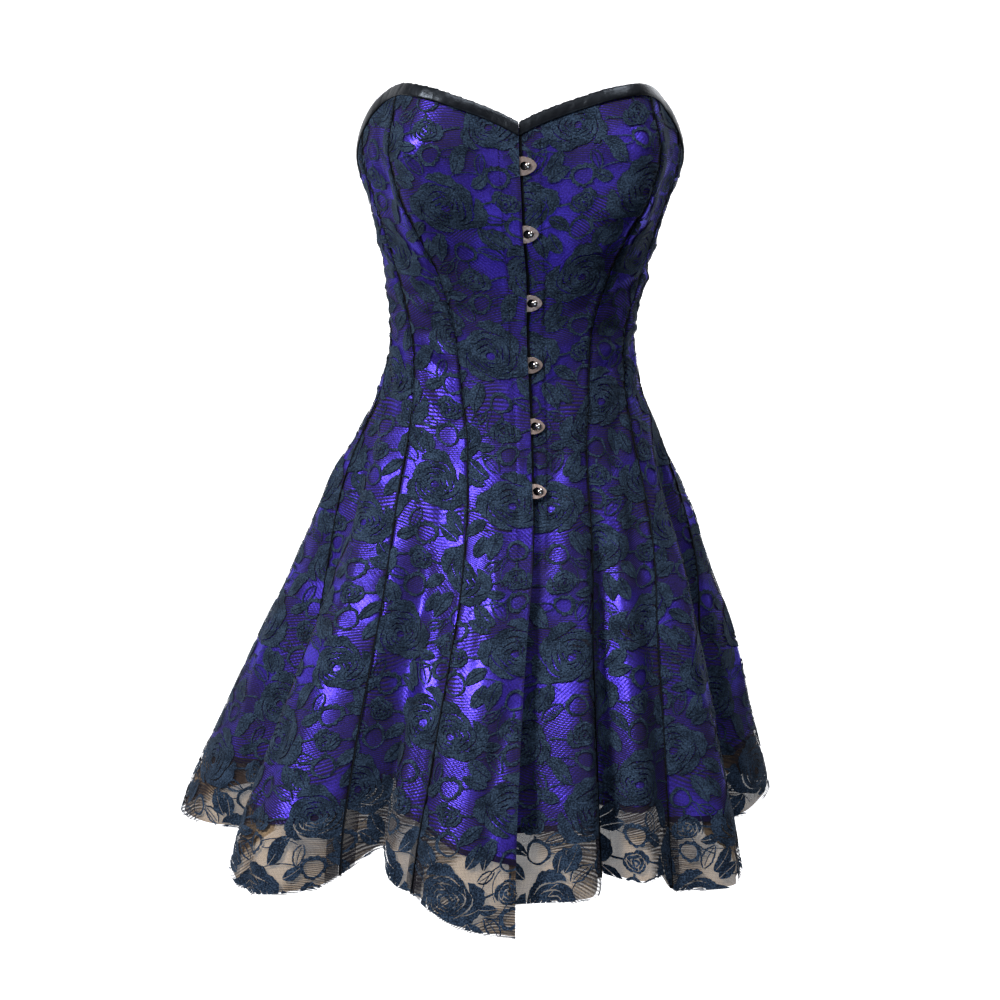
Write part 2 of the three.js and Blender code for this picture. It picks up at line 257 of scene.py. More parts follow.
def smoothstep(low: float, high: float, value: Array) -> Array:
    """Rise softly from 0 to 1."""
    t = np.clip((value - low) / (high - low), 0, 1)
    return t * t * (3 - 2 * t)


def bell(value: Array, width: float) -> Array:
    """Give a soft bump of height 1 around zero."""
    return np.exp(-((value / width) ** 2))


def running_length(points: Array) -> Array:
    """Measure how far along a line of points each of them lies."""
    steps = np.linalg.norm(np.diff(points, axis=0), axis=-1)
    return np.concatenate([[0], np.cumsum(steps)])


class DressForm:
    """The shape that the worn dress has: sections, folds, neckline and hem."""

    def __init__(self) -> None:
        """Make the curves of every table."""
        heights = [row.z for row in SECTIONS]
        self.section = {
            name: Curve(heights, [getattr(row, name) for row in SECTIONS])
            for name in Section._fields[1:]
        }
        seam_heights = [row.z for row in SEAMS]
        self.seams = {
            name: Curve(seam_heights, [getattr(row, name) for row in SEAMS])
            for name in SeamRow._fields[1:]
        }
        self.neckline = angle_curve(NECKLINE)
        self.folds = {half: angle_curve(rows) for half, rows in FOLDS.items()}
        self.hems = {half: angle_curve(rows) for half, rows in HEMS.items()}

    def face(self, half: Half, angle: Array, z: Array, relief: Array | float = 0.0) -> Array:
        """Find the satin's outer face.

        Args:
            half: Which half of the dress.
            angle: Degrees from the front edge.
            z: Heights in millimetres.
            relief: How far creases and seams move the cloth outwards there.

        Returns:
            The points in millimetres, with x, y and z along the last axis.
        """
        read = {name: curve(z) for name, curve in self.section.items()}
        turned = half.value * angle + read["turn"] * (1 - angle / 180)
        sine, cosine = np.sin(np.radians(turned)), np.cos(np.radians(turned))
        depth = np.where(cosine > 0, read["front"], read["back"])
        away = np.minimum(np.abs(np.abs(turned) - CUP_MIDDLE) / CUP_SPREAD, 1)
        out = read["cup"] * np.cos(away * math.pi / 2) ** 2
        out = out + read["folds"] * self.folds[half](angle) + relief
        if half is Half.LEFT:
            share = np.clip(np.abs(angle) / UNDERLAP_FADE, 0, 1)
            out = out - UNDERLAP * np.cos(share * math.pi / 2) ** 2
        outward = np.stack([sine / read["side"], -cosine / depth], axis=-1)
        outward /= np.linalg.norm(outward, axis=-1, keepdims=True)
        x = read["middle"] + read["side"] * sine + outward[..., 0] * out
        y = -depth * cosine + outward[..., 1] * out
        return np.stack(np.broadcast_arrays(x, y, z), axis=-1)

    def degree(self, half: Half, angle: Array, z: Array) -> Array:
        """Measure how many millimetres of cloth one degree covers.

        Args:
            half: Which half of the dress.
            angle: Degrees from the front edge.
            z: Heights in millimetres.

        Returns:
            The millimetres in a degree at each place.
        """
        low = np.maximum(angle - SPAN, 0)
        high = np.asarray(angle) + SPAN
        across = self.face(half, high, z) - self.face(half, low, z)
        return np.linalg.norm(across, axis=-1) / (high - low)

    def frame(self, half: Half, angle: float, z: float) -> tuple[Vector, Vector, Vector]:
        """Find the directions of the face, as the solids take them.

        Args:
            half: Which half of the dress.
            angle: Degrees from the front edge.
            z: The height in millimetres.

        Returns:
            Across towards the wearer's left, up along the cloth, and outward.
        """
        low = max(angle - SPAN, 0)
        across = self.face(half, np.float64(angle + SPAN), z) - self.face(half, np.float64(low), z)
        up = self.face(half, np.float64(angle), z + RISE)
        up = up - self.face(half, np.float64(angle), z - RISE)
        side = Vector(across).normalized() * half.value
        rise = Vector(up).normalized()
        return side, rise, side.cross(rise).normalized()

    def stretch(self, half: Half, angle: Array) -> Array:
        """Say how much further straight down a distance from the neckline reaches on its slope.

        Args:
            half: Which half of the dress.
            angle: Degrees from the front edge.

        Returns:
            The factor at each angle.
        """
        low = np.maximum(angle - SPAN, 0)
        high = np.asarray(angle) + SPAN
        rise = (self.neckline(high) - self.neckline(low)) / (high - low)
        return np.hypot(1, rise / self.degree(half, angle, self.neckline(angle)))


@dataclass(frozen=True)
class Crease:
    """A soft ridge, or a trough if its height is negative, laid on one gore.

    share and z place its middle, lean tips it from level towards upright in degrees, and
    halves names the halves that have it.
    """

    share: float
    z: float
    length: float
    lean: float
    height: float
    width: float
    halves: str = "both"


def creases(*rows: tuple) -> tuple[Crease, ...]:
    """Name the columns of a table of creases."""
    return tuple(Crease(*row) for row in rows)


CREASES = {
    "front": creases(
        (0.78, 168, 46, 62, 1.3, 7.0), (0.60, 118, 54, 74, -1.4, 8.0),
        (0.82, 92, 44, 58, 1.6, 6.5), (0.35, 64, 60, 80, 0.9, 8.0, "left"),
        (0.72, 22, 38, 24, -1.3, 5.5), (0.66, -12, 44, 30, 1.4, 6.0, "right"),
        (0.52, -34, 46, 38, -1.3, 6.0), (0.70, -70, 70, 66, 2.0, 8.0),
        (0.45, -118, 96, 78, -2.4, 9.0, "left"), (0.55, -185, 150, 84, 3.0, 10.0),
        (0.80, -250, 170, 88, -2.6, 9.0, "right"), (0.30, -400, 260, 90, -3.5, 9.0, "right"),
    ),
    "princess": creases(
        (0.55, 176, 40, 78, 1.7, 5.5), (0.35, 150, 52, 70, -1.6, 5.0, "right"),
        (0.50, 96, 34, 20, 1.3, 5.0), (0.45, 74, 40, -16, -1.9, 4.6),
        (0.55, 60, 44, 14, 2.2, 5.4), (0.48, 42, 42, -10, -2.2, 4.8),
        (0.55, 26, 40, 12, 2.3, 5.2, "right"), (0.50, 10, 44, -8, -1.9, 4.6),
        (0.46, -8, 42, 22, 1.9, 5.4), (0.55, -26, 48, 40, -1.7, 5.2),
        (0.40, -54, 64, 60, 1.9, 6.5), (0.60, -92, 84, 74, -2.2, 7.0, "left"),
        (0.48, -160, 130, 84, 2.6, 8.0), (0.30, -240, 150, 88, -2.8, 9.0),
        (0.64, -430, 340, 89, -5.0, 8.0, "right"), (0.20, -430, 330, 90, -4.5, 8.0, "left"),
    ),
    "side_front": creases(
        (0.55, 152, 40, 74, 1.5, 5.5), (0.30, 120, 36, 30, -1.6, 5.0),
        (0.52, 88, 44, -18, 1.8, 5.0), (0.46, 68, 42, 12, -2.1, 4.6),
        (0.56, 50, 46, -12, 2.2, 5.2), (0.44, 30, 42, 16, -2.2, 4.8),
        (0.52, 12, 46, -14, 2.0, 5.0), (0.50, -8, 46, 26, -2.0, 5.0),
        (0.42, -30, 54, 44, 2.2, 6.0), (0.58, -62, 66, 60, -2.2, 6.5),
        (0.38, -104, 90, 72, 2.6, 8.0), (0.66, -150, 120, 80, -3.0, 9.0),
        (0.34, -230, 150, 86, 3.0, 10.0), (0.72, -290, 150, 90, 2.4, 9.0, "left"),
        (0.60, -420, 300, 90, -4.0, 9.0),
    ),
    "side_back": creases(
        (0.16, -430, 320, 90, -5.0, 9.0), (0.50, 116, 40, 20, 1.5, 5.5),
        (0.44, 90, 46, -14, -1.9, 5.0), (0.56, 66, 44, 12, 2.1, 5.2),
        (0.46, 40, 46, -12, -2.1, 4.8), (0.54, 16, 44, 14, 2.0, 5.2),
        (0.48, -10, 50, 28, -1.9, 5.2), (0.40, -40, 60, 48, 2.1, 6.5),
        (0.62, -84, 84, 66, -2.4, 7.5), (0.30, -150, 120, 80, 2.8, 9.0),
        (0.70, -220, 150, 86, -2.8, 10.0), (0.45, -300, 150, 90, 2.6, 9.0),
    ),
    "back": creases(
        (0.40, -430, 320, 90, -5.0, 9.0), (0.50, 84, 50, 10, 1.5, 5.5),
        (0.46, 58, 52, -12, -1.9, 5.0), (0.55, 34, 50, 12, 2.1, 5.2),
        (0.48, 10, 52, -10, -2.0, 5.0), (0.52, -16, 54, 22, 1.9, 5.4),
        (0.44, -46, 60, 44, -2.0, 6.2), (0.60, -90, 90, 68, 2.6, 8.0),
        (0.32, -160, 130, 82, -2.8, 9.0), (0.68, -250, 160, 88, 3.0, 10.0),
    ),
    "centre_back": creases(
        (0.50, -420, 300, 90, -4.0, 9.0), (0.50, 78, 46, -12, -1.6, 5.2),
        (0.46, 52, 52, 10, 1.9, 5.0), (0.55, 28, 50, -10, -2.1, 4.8), (0.50, 4, 50, 12, 2.0, 5.2),
        (0.46, -22, 52, 26, -1.8, 5.4), (0.54, -56, 66, 52, 2.1, 6.6),
        (0.40, -110, 110, 74, -2.6, 8.0), (0.62, -190, 150, 84, 2.8, 9.5),
        (0.30, -280, 160, 90, -2.8, 10.0),
    ),
}  # fmt: skip


@dataclass(frozen=True)
class SeamRelief:
    """How the cloth rises and sinks beside seams and in creases, in millimetres.

    Below the bones' end the groove and the puckers keep only their loose shares. Pairs say
    where something starts and where it is full.
    """

    groove: float = 1.1
    groove_width: float = 1.9
    groove_loose: float = 0.35
    bone: float = 0.75
    bone_away: float = 5.6
    bone_width: float = 2.7
    bone_end: Pair = (-95.0, -35.0)
    pucker: float = 0.7
    pucker_pitch: float = 10.5
    pucker_reach: float = 17.0
    pucker_loose: float = 0.4
    drift: float = 2.1
    drift_length: float = 23.0
    swell: float = 0.4
    swell_length: float = 37.0
    blade: float = 0.5
    blade_edges: Pair = (15.5, 21.0)
    blade_widens: Pair = (-40.0, 190.0)
    blade_end: Pair = (-190.0, -160.0)
    blade_round: Pair = (-6.0, -1.0)
    blade_groove: float = 0.9
    blade_groove_width: float = 1.5
    crease: float = 1.3
    crease_shift: float = 4.5
    crease_shift_turn: float = 1.9
    crease_bow: float = 0.0016
    crease_full: float = 0.25
    calm_below_top: Pair = (12.0, 34.0)

    def at_seam(self, near: Array, z: Array, wander: float) -> Array:
        """Give the relief beside an ordinary seam.

        Args:
            near: Millimetres from the seam.
            z: Heights in millimetres.
            wander: A number that sets where this seam's puckers fall.

        Returns:
            How far the cloth stands out.
        """
        boned = smoothstep(*self.bone_end, z)
        drift = self.drift * np.sin(z / self.drift_length + wander)
        swell = 1 - self.swell + self.swell * np.sin(z / self.swell_length + 3 * wander)
        wave = np.sin(2 * math.pi * z / self.pucker_pitch + drift) * swell
        pucker = self.pucker * wave * np.exp(-near / self.pucker_reach)
        bone = self.bone * bell(near - self.bone_away, self.bone_width) * boned
        groove = self.groove * bell(near, self.groove_width)
        groove = groove * (self.groove_loose + (1 - self.groove_loose) * boned)
        return bone + pucker * (self.pucker_loose + (1 - self.pucker_loose) * boned) - groove

    def blade_edge(self, z: Array) -> Array:
        """Say how many millimetres from the front edge the busk's blade ends at each height."""
        low, high = self.blade_edges
        return low + (high - low) * smoothstep(*self.blade_widens, z)

    def at_front(self, near: Array, z: Array, raised: bool) -> Array:
        """Give the relief over the busk's blade, beside the front edge.

        Args:
            near: Millimetres from the front edge.
            z: Heights in millimetres.
            raised: Whether the blade lifts the cloth, which it does on the loops' side.

        Returns:
            How far the cloth stands out.
        """
        inside = near - self.blade_edge(z)
        flat = (1 - smoothstep(*self.blade_round, inside)) * raised
        groove = self.blade_groove * bell(inside, self.blade_groove_width)
        return smoothstep(*self.blade_end, z) * (self.blade * flat - groove)

    def in_crease(self, crease: Crease, right: Array, up: Array) -> Array:
        """Give the relief of one crease.

        Args:
            crease: The crease.
            right: Millimetres across from its middle.
            up: Millimetres up from its middle.

        Returns:
            How far the cloth stands out.
        """
        lean = math.radians(crease.lean)
        along = right * math.cos(lean) + up * math.sin(lean)
        beside = up * math.cos(lean) - right * math.sin(lean) - self.crease_bow * along * along
        fade = 1 - smoothstep(self.crease_full, 1.0, np.abs(along) * 2 / crease.length)
        return self.crease * crease.height * fade * bell(beside, crease.width)


@dataclass(frozen=True)
class Gore:
    """One of the six gores of a half, between two seams, with the columns of its fine mesh."""

    name: str
    start: str | None
    end: str | None
    columns: int

    def seamed_sides(self) -> list[int]:
        """List the sides that are sewn to another gore, as shares of its width."""
        return [1] if self.start is None else [0, 1]


GORES = (
    Gore("front", None, "princess", 28),
    Gore("princess", "princess", "side_front", 18),
    Gore("side_front", "side_front", "side", 28),
    Gore("side_back", "side", "side_back", 38),
    Gore("back", "side_back", "back", 40),
    Gore("centre_back", "back", None, 40),
)


class GoreSurface:
    """The face of one gore, with its seams and creases, and the flat cloth that it is cut from."""

    LEVELS = np.linspace(245, -515, 115)
    SHARES = np.linspace(0, 1, 57)
    STEP = 1.2
    HEM_ROUNDS = 4

    def __init__(self, form: DressForm, half: Half, gore: Gore, relief: SeamRelief) -> None:
        """Lay the gore flat, by the lengths across it and down its middle.

        Args:
            form: The dress's shape.
            half: Which half the gore is on.
            gore: The gore.
            relief: The form of its seams.
        """
        self.form, self.half, self.gore, self.relief_of = form, half, gore, relief
        self.creases = [c for c in CREASES[gore.name] if c.halves in ("both", half.word)]
        share, z = np.meshgrid(self.SHARES, self.LEVELS)
        points = form.face(half, self.angle(share, z), z)
        across = np.linalg.norm(np.diff(points, axis=1), axis=-1)
        lengths = np.concatenate([np.zeros((len(z), 1)), np.cumsum(across, axis=1)], axis=1)
        self.widths = lengths[:, -1]
        middle = len(self.SHARES) // 2
        self.across = lengths - lengths[:, middle : middle + 1]
        down = running_length(points[:, middle])
        self.down = down - np.interp(0, self.LEVELS[::-1], down[::-1])

    def angle(self, share: Array, z: Array) -> Array:
        """Find the angle at a share of the gore's width.

        Args:
            share: From 0 at the edge nearer the front to 1 at the other.
            z: Heights in millimetres.

        Returns:
            Degrees from the front edge.
        """
        seams = self.form.seams
        start = seams[self.gore.start](z) if self.gore.start else 0.0
        end = seams[self.gore.end](z) if self.gore.end else 180.0
        return start + (end - start) * share

    def width(self, z: Array) -> Array:
        """Read the gore's width."""
        return np.interp(z, self.LEVELS[::-1], self.widths[::-1])

    def relief(self, share: Array, z: Array) -> Array:
        """Add up what seams, puckers and creases do to the cloth.

        Args:
            share: Shares of the gore's width.
            z: Heights in millimetres.

        Returns:
            How far the cloth stands out there.
        """
        width = self.width(z)
        first, last = np.abs(share) * width, np.abs(1 - share) * width
        seams = self.relief_of
        wander = self.half.value * (1 + GORES.index(self.gore))
        if self.gore.start:
            total = seams.at_seam(first, z, wander)
        else:
            total = seams.at_front(first, z, self.half is Half.RIGHT)
        total = total + seams.at_seam(last, z, wander + self.half.value)
        for number, crease in enumerate(self.creases):
            shift = seams.crease_shift * self.half.value
            shift = shift * math.sin(seams.crease_shift_turn * number)
            right, up = (share - crease.share) * width, z - crease.z - shift
            total = total + seams.in_crease(crease, right, up)
        below = self.form.neckline(self.angle(share, z)) - z
        return total * smoothstep(*seams.calm_below_top, below)

    def place(self, share: Array, z: Array, out: Array | float) -> Array:
        """Find points over the gore's face.

        Args:
            share: Shares of the gore's width.
            z: Heights in millimetres.
            out: How far outside the satin's face the points lie.

        Returns:
            The points in metres.
        """
        share, z = np.broadcast_arrays(np.asarray(share, float), np.asarray(z, float))

        def face(s: Array, h: Array) -> Array:
            """Find points on the creased face."""
            return self.form.face(self.half, self.angle(s, h), h, self.relief(s, h))

        aside = self.STEP / self.width(z)
        across = (face(share + aside, z) - face(share - aside, z)) * self.half.value
        up = face(share, z + self.STEP) - face(share, z - self.STEP)
        outward = np.cross(across, up)
        outward /= np.linalg.norm(outward, axis=-1, keepdims=True)
        return (face(share, z) + outward * np.asarray(out)[..., None]) * MM

    def top(self, share: float) -> float:
        """Read the top edge's height at a share of the gore's width."""
        return float(self.form.neckline(self.angle(float(share), NECK_GUESS)))

    def above_hem(self, share: Array, above: float) -> Array:
        """Find heights at a distance above the lace's hem.

        Args:
            share: Shares of the gore's width.
            above: How far above the hem.

        Returns:
            The heights.
        """
        z = np.full(np.shape(share), HEM_GUESS)
        for _ in range(self.HEM_ROUNDS):
            z = self.form.hems[self.half](self.angle(share, z)) + above
        return z

    def flat(self, share: Array, z: Array) -> Array:
        """Say where places on the gore lie on the flat cloth.

        Args:
            share: Shares of the gore's width.
            z: Heights in millimetres.

        Returns:
            Millimetres across from the middle and down from the waist, along the last axis.
        """
        level = np.interp(-z, -self.LEVELS, np.arange(len(self.LEVELS)))
        column = share * (len(self.SHARES) - 1)
        i = np.clip(level.astype(int), 0, len(self.LEVELS) - 2)
        j = np.clip(column.astype(int), 0, len(self.SHARES) - 2)
        a, b = level - i, column - j
        upper = self.across[i, j] * (1 - b) + self.across[i, j + 1] * b
        lower = self.across[i + 1, j] * (1 - b) + self.across[i + 1, j + 1] * b
        down = self.down[i] * (1 - a) + self.down[i + 1] * a
        return np.stack([upper * (1 - a) + lower * a, down], axis=-1)

    def unflat(self, flat: Array) -> tuple[Array, Array, Array]:
        """Find the places on the gore of points on the flat cloth.

        Args:
            flat: Millimetres across and down, along the last axis.

        Returns:
            The shares, the heights, and whether each point lies past a side edge.
        """
        z = np.interp(flat[:, 1], self.down, self.LEVELS)
        level = np.interp(-z, -self.LEVELS, np.arange(len(self.LEVELS)))
        i = np.clip(level.astype(int), 0, len(self.LEVELS) - 2)
        a = (level - i)[:, None]
        rows = self.across[i] * (1 - a) + self.across[i + 1] * a
        past = (flat[:, 0] < rows[:, 0]) | (flat[:, 0] > rows[:, -1])
        j = np.clip((rows < flat[:, :1]).sum(axis=1) - 1, 0, len(self.SHARES) - 2)
        pick = np.arange(len(flat))
        low, high = rows[pick, j], rows[pick, j + 1]
        share = (j + np.clip((flat[:, 0] - low) / (high - low), 0, 1)) / (len(self.SHARES) - 1)
        return share, z, past


def make_mesh(name: str, points: Array, quads: Array, flat: Array | None = None) -> Piece:
    """Make a smooth mesh object of four-sided faces.

    Args:
        name: The object's name.
        points: Its vertices in metres, in any arrangement of rows and columns.
        quads: Four vertex numbers for each face.
        flat: Where each vertex lies on the flat cloth, in millimetres, for its UV map.

    Returns:
        The object, linked to the scene.
    """
    mesh = bpy.data.meshes.new(name)
    points = np.asarray(points, np.float32).reshape(-1, 3)
    mesh.vertices.add(len(points))
    mesh.vertices.foreach_set("co", points.ravel())
    mesh.loops.add(quads.size)
    mesh.loops.foreach_set("vertex_index", quads.astype(np.int32).ravel())
    mesh.polygons.add(len(quads))
    mesh.polygons.foreach_set("loop_start", np.arange(0, quads.size, 4, dtype=np.int32))
    mesh.polygons.foreach_set("use_smooth", np.ones(len(quads), bool))
    mesh.update(calc_edges=True)
    if flat is not None:
        layer = mesh.uv_layers.new(name="cloth")
        spots = flat.reshape(-1, 2)[quads.ravel()] * MM
        layer.data.foreach_set("uv", spots.astype(np.float32).ravel())
    mesh.validate()
    piece = bpy.data.objects.new(name, mesh)
    bpy.context.collection.objects.link(piece)
    return piece


def join_dress(piece: Piece, materials: Sequence[Material], node: str = "") -> Piece:
    """Give a piece its materials and make it a part of the dress.

    Args:
        piece: The piece.
        materials: Its materials, in the order of their indices.
        node: The solid that it stands for, if it stands for one.

    Returns:
        The piece.
    """
    piece.data.materials.clear()
    for material in materials:
        piece.data.materials.append(material)
    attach(piece, "root")
    if node:
        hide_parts(node)
    return piece


def grid_quads(rows: int, columns: int, mirrored: bool, wrap: bool = False) -> Array:
    """Number the faces of a grid of vertices.

    Args:
        rows: How many rows of vertices there are.
        columns: How many vertices are in a row.
        mirrored: Whether the faces turn the other way round.
        wrap: Whether the last column joins the first.

    Returns:
        Four vertex numbers for each face.
    """
    row, column = np.mgrid[0 : rows - 1, 0 : columns if wrap else columns - 1]
    beside = (column + 1) % columns
    corners = [(row, column), (row + 1, column), (row + 1, beside), (row, beside)]
    numbers = np.stack([r * columns + c for r, c in corners], axis=-1).reshape(-1, 4)
    return numbers[:, ::-1] if mirrored else numbers


# The scale of a wave texture whose bands are a metre apart
BAND = 2 * math.pi / 20


class Sketch:
    """A material whose nodes are added one after another."""

    def __init__(self, name: str) -> None:
        """Start from a bare Principled shader.

        Args:
            name: The material's name.
        """
        self.material = bpy.data.materials.new(name)
        self.material.use_nodes = True
        self.tree = self.material.node_tree
        self.shader = next(n for n in self.tree.nodes if n.type == "BSDF_PRINCIPLED")

    def node(self, kind: str, settings: dict | None = None, **inputs: object) -> bpy.types.Node:
        """Add a node.

        Args:
            kind: The node's Blender type.
            settings: Its properties.
            inputs: Values or other nodes' outputs, by the input's name with _ for a space.

        Returns:
            The node.
        """
        made = self.tree.nodes.new(kind)
        for key, value in (settings or {}).items():
            setattr(made, key, value)
        for key, value in inputs.items():
            self.feed(made, key.replace("_", " "), value)
        return made

    def bands(self, direction: str, **inputs: object) -> Socket:
        """Add a texture of waves that run across a direction, and give its strength."""
        made = self.node("ShaderNodeTexWave", {"bands_direction": direction}, **inputs)
        return made.outputs["Fac"]

    def noise(self, **inputs: object) -> Socket:
        """Add a noise texture, and give its strength."""
        return self.node("ShaderNodeTexNoise", **inputs).outputs[0]

    def feed(self, node: bpy.types.Node, name: str, value: object) -> None:
        """Set or link an input.

        Args:
            node: The node.
            name: The input's name, or its number as text.
            value: A value, or another node's output.
        """
        socket = node.inputs[int(name)] if name.isdigit() else node.inputs[name]
        if isinstance(value, Socket):
            self.tree.links.new(value, socket)
        else:
            socket.default_value = value

    def math(self, operation: str, first: object, second: object = 0.0) -> Socket:
        """Add a sum, product or other calculation.

        Args:
            operation: The Math node's operation.
            first: Its first value or output.
            second: Its second value or output.

        Returns:
            The result's output.
        """
        made = self.node("ShaderNodeMath", {"operation": operation})
        self.feed(made, "0", first)
        self.feed(made, "1", second)
        return made.outputs[0]

    def lift(self, first: object, share: float, second: object) -> Socket:
        """Add a share of one output to another.

        Args:
            first: The output that only a share is taken of.
            share: That share.
            second: The output that it is added to.

        Returns:
            The result's output.
        """
        result = self.math("MULTIPLY_ADD", first, share)
        self.feed(result.node, "2", second)
        return result

    def ramp(
        self, value: object, low: float, high: float, start: float = 0.0, end: float = 1.0
    ) -> Socket:
        """Map a range softly onto another.

        Args:
            value: The output to map.
            low: Where the result is start.
            high: Where the result is end.
            start: The result at low.
            end: The result at high.

        Returns:
            The result's output.
        """
        made = self.node("ShaderNodeMapRange", {"interpolation_type": "SMOOTHSTEP"})
        ends = {"From Min": low, "From Max": high, "To Min": start, "To Max": end}
        for name, number in ends.items():
            made.inputs[name].default_value = number
        self.feed(made, "Value", value)
        return made.outputs[0]

    def blend(self, share: Socket, first: Triple, second: Triple) -> Socket:
        """Mix two colours.

        Args:
            share: The share of the second.
            first: A colour as linear red, green and blue.
            second: Another.

        Returns:
            The colour's output.
        """
        made = self.node("ShaderNodeMix", {"data_type": "RGBA"})
        self.feed(made, "Factor", share)
        made.inputs[6].default_value = (*first, 1)
        made.inputs[7].default_value = (*second, 1)
        return made.outputs[2]

    def cloth(self) -> Socket:
        """Give the place on the flat cloth, in metres."""
        return self.node("ShaderNodeUVMap", {"uv_map": "cloth"}).outputs[0]

    def body(self) -> Socket:
        """Give the place in the model's frame, in metres."""
        return self.node("ShaderNodeTexCoord").outputs["Object"]

    def bump(self, height: object, strength: float, distance: float) -> None:
        """Let a height disturb the shader's normal.

        Args:
            height: The height's output.
            strength: The bump's strength.
            distance: How deep a height of 1 is, in metres.
        """
        made = self.node("ShaderNodeBump")
        made.inputs["Strength"].default_value = strength
        made.inputs["Distance"].default_value = distance
        self.feed(made, "Height", height)
        self.feed(self.shader, "Normal", made.outputs[0])

    def set(self, **inputs: object) -> None:
        """Set the shader's own inputs."""
        for key, value in inputs.items():
            self.feed(self.shader, key.replace("_", " "), value)


@dataclass(frozen=True)
class SatinFinish:
    """Glossy satin: a fine slanted weave, soft gloss that follows the floats, and slubs."""

    name: str = "violet_satin"
    deep: Triple = (0.034, 0.014, 0.37)
    bright: Triple = (0.118, 0.070, 0.92)
    gloss: Triple = (0.40, 0.44, 0.95)
    roughness: float = 0.37
    metallic: float = 0.6

    def material(self) -> Material:
        """Make the material.

        Returns:
            The material.
        """
        sketch = Sketch(self.name)
        place = sketch.cloth()
        drift = sketch.noise(Vector=place, Scale=30.0, Detail=3.0)
        weave = sketch.bands("DIAGONAL", Vector=place, Scale=150.0)
        threads = sketch.noise(Vector=place, Scale=620.0, Detail=2.0)
        mixed = sketch.lift(threads, 1.1, drift)
        sketch.set(
            Base_Color=sketch.blend(sketch.ramp(mixed, 0.75, 1.35), self.deep, self.bright),
            Metallic=self.metallic,
            Roughness=self.roughness,
            Anisotropic=0.5,
            Specular_Tint=(*self.gloss, 1),
        )
        sketch.bump(sketch.lift(weave, 0.5, threads), 0.55, 0.0003)
        return sketch.material


@dataclass(frozen=True)
class BackingFinish:
    """The inside of the dress: a black cotton twill."""

    name: str = "black_twill"
    dark: Triple = (0.006, 0.006, 0.010)
    light: Triple = (0.022, 0.020, 0.034)

    def material(self) -> Material:
        """Make the material.

        Returns:
            The material.
        """
        sketch = Sketch(self.name)
        place = sketch.cloth()
        weave = sketch.bands("DIAGONAL", Vector=place, Scale=210.0)
        sketch.set(
            Base_Color=sketch.blend(weave, self.dark, self.light),
            Roughness=0.85,
            Sheen_Weight=0.15,
        )
        sketch.bump(weave, 0.5, 0.0002)
        return sketch.material


@dataclass(frozen=True)
class NetFinish:
    """Fine net: threads round small cells, see-through between, with waves of closer threads."""

    name: str = "lace_net"
    colour: Triple = (0.016, 0.013, 0.018)
    warm: Triple = (0.016, 0.013, 0.018)
    wave: float = 0.0023
    thin: float = 0.06
    thick: float = 0.68
    cell: float = 0.0012
    bend: float = 0.06

    def material(self) -> Material:
        """Make the material.

        Returns:
            The material.
        """
        sketch = Sketch(self.name)
        place = sketch.cloth()
        cells = sketch.node(
            "ShaderNodeTexVoronoi", {"feature": "DISTANCE_TO_EDGE"},
            Vector=place, Scale=1 / self.cell, Randomness=0.2,
        )  # fmt: skip
        warp = sketch.noise(Vector=place, Scale=11.0, Detail=0.0)
        bent = sketch.node("ShaderNodeVectorMath", {"operation": "MULTIPLY_ADD"})
        sketch.feed(bent, "0", warp.node.outputs["Color"])
        sketch.feed(bent, "1", (self.bend, self.bend, 0.0))
        sketch.feed(bent, "2", place)
        waves = sketch.bands("Y", Vector=bent.outputs[0], Scale=BAND / self.wave)
        patchy = sketch.noise(Vector=place, Scale=17.0, Detail=1.0)
        strength = sketch.ramp(patchy, 0.34, 0.56, 0.15)
        closer = sketch.math("MULTIPLY", waves, strength)
        reach = sketch.ramp(closer, 0.0, 1.0, 0.045, 0.15)
        thread = sketch.math("LESS_THAN", cells.outputs["Distance"], reach)
        between = sketch.ramp(closer, 0.0, 1.0, self.thin, self.thick)
        shade = sketch.noise(Vector=place, Scale=13.0, Detail=2.0)
        tone = sketch.ramp(shade, 0.44, 0.56)
        sketch.set(
            Base_Color=sketch.blend(tone, self.colour, self.warm),
            Roughness=0.85,
            Alpha=sketch.math("MAXIMUM", thread, between),
            Specular_IOR_Level=0.2,
            Sheen_Weight=0.08,
            Sheen_Roughness=0.5,
            Sheen_Tint=(0.5, 0.5, 0.7, 1),
        )
        return sketch.material


@dataclass(frozen=True)
class MotifFinish:
    """The close cloth of roses and leaves: matt, with fine threads and a mottled tone."""

    name: str = "lace_motif"
    dark: Triple = (0.005, 0.010, 0.021)
    light: Triple = (0.046, 0.080, 0.142)

    def material(self) -> Material:
        """Make the material.

        Returns:
            The material.
        """
        sketch = Sketch(self.name)
        place = sketch.cloth()
        mottle = sketch.noise(Vector=place, Scale=70.0, Detail=4.0, Roughness=0.65)
        threads = sketch.noise(Vector=place, Scale=640.0, Detail=3.0, Roughness=0.7)
        rows = sketch.bands("Y", Vector=place, Scale=300.0, Distortion=1.5)
        tone = sketch.lift(threads, 2.2, mottle)
        sketch.set(
            Base_Color=sketch.blend(sketch.ramp(tone, 1.36, 2.02), self.dark, self.light),
            Roughness=0.9,
            Specular_IOR_Level=0.12,
            Sheen_Weight=0.05,
            Sheen_Roughness=0.4,
            Sheen_Tint=(0.5, 0.68, 0.85, 1),
        )
        sketch.bump(sketch.lift(rows, 0.5, threads), 0.9, 0.0007)
        return sketch.material


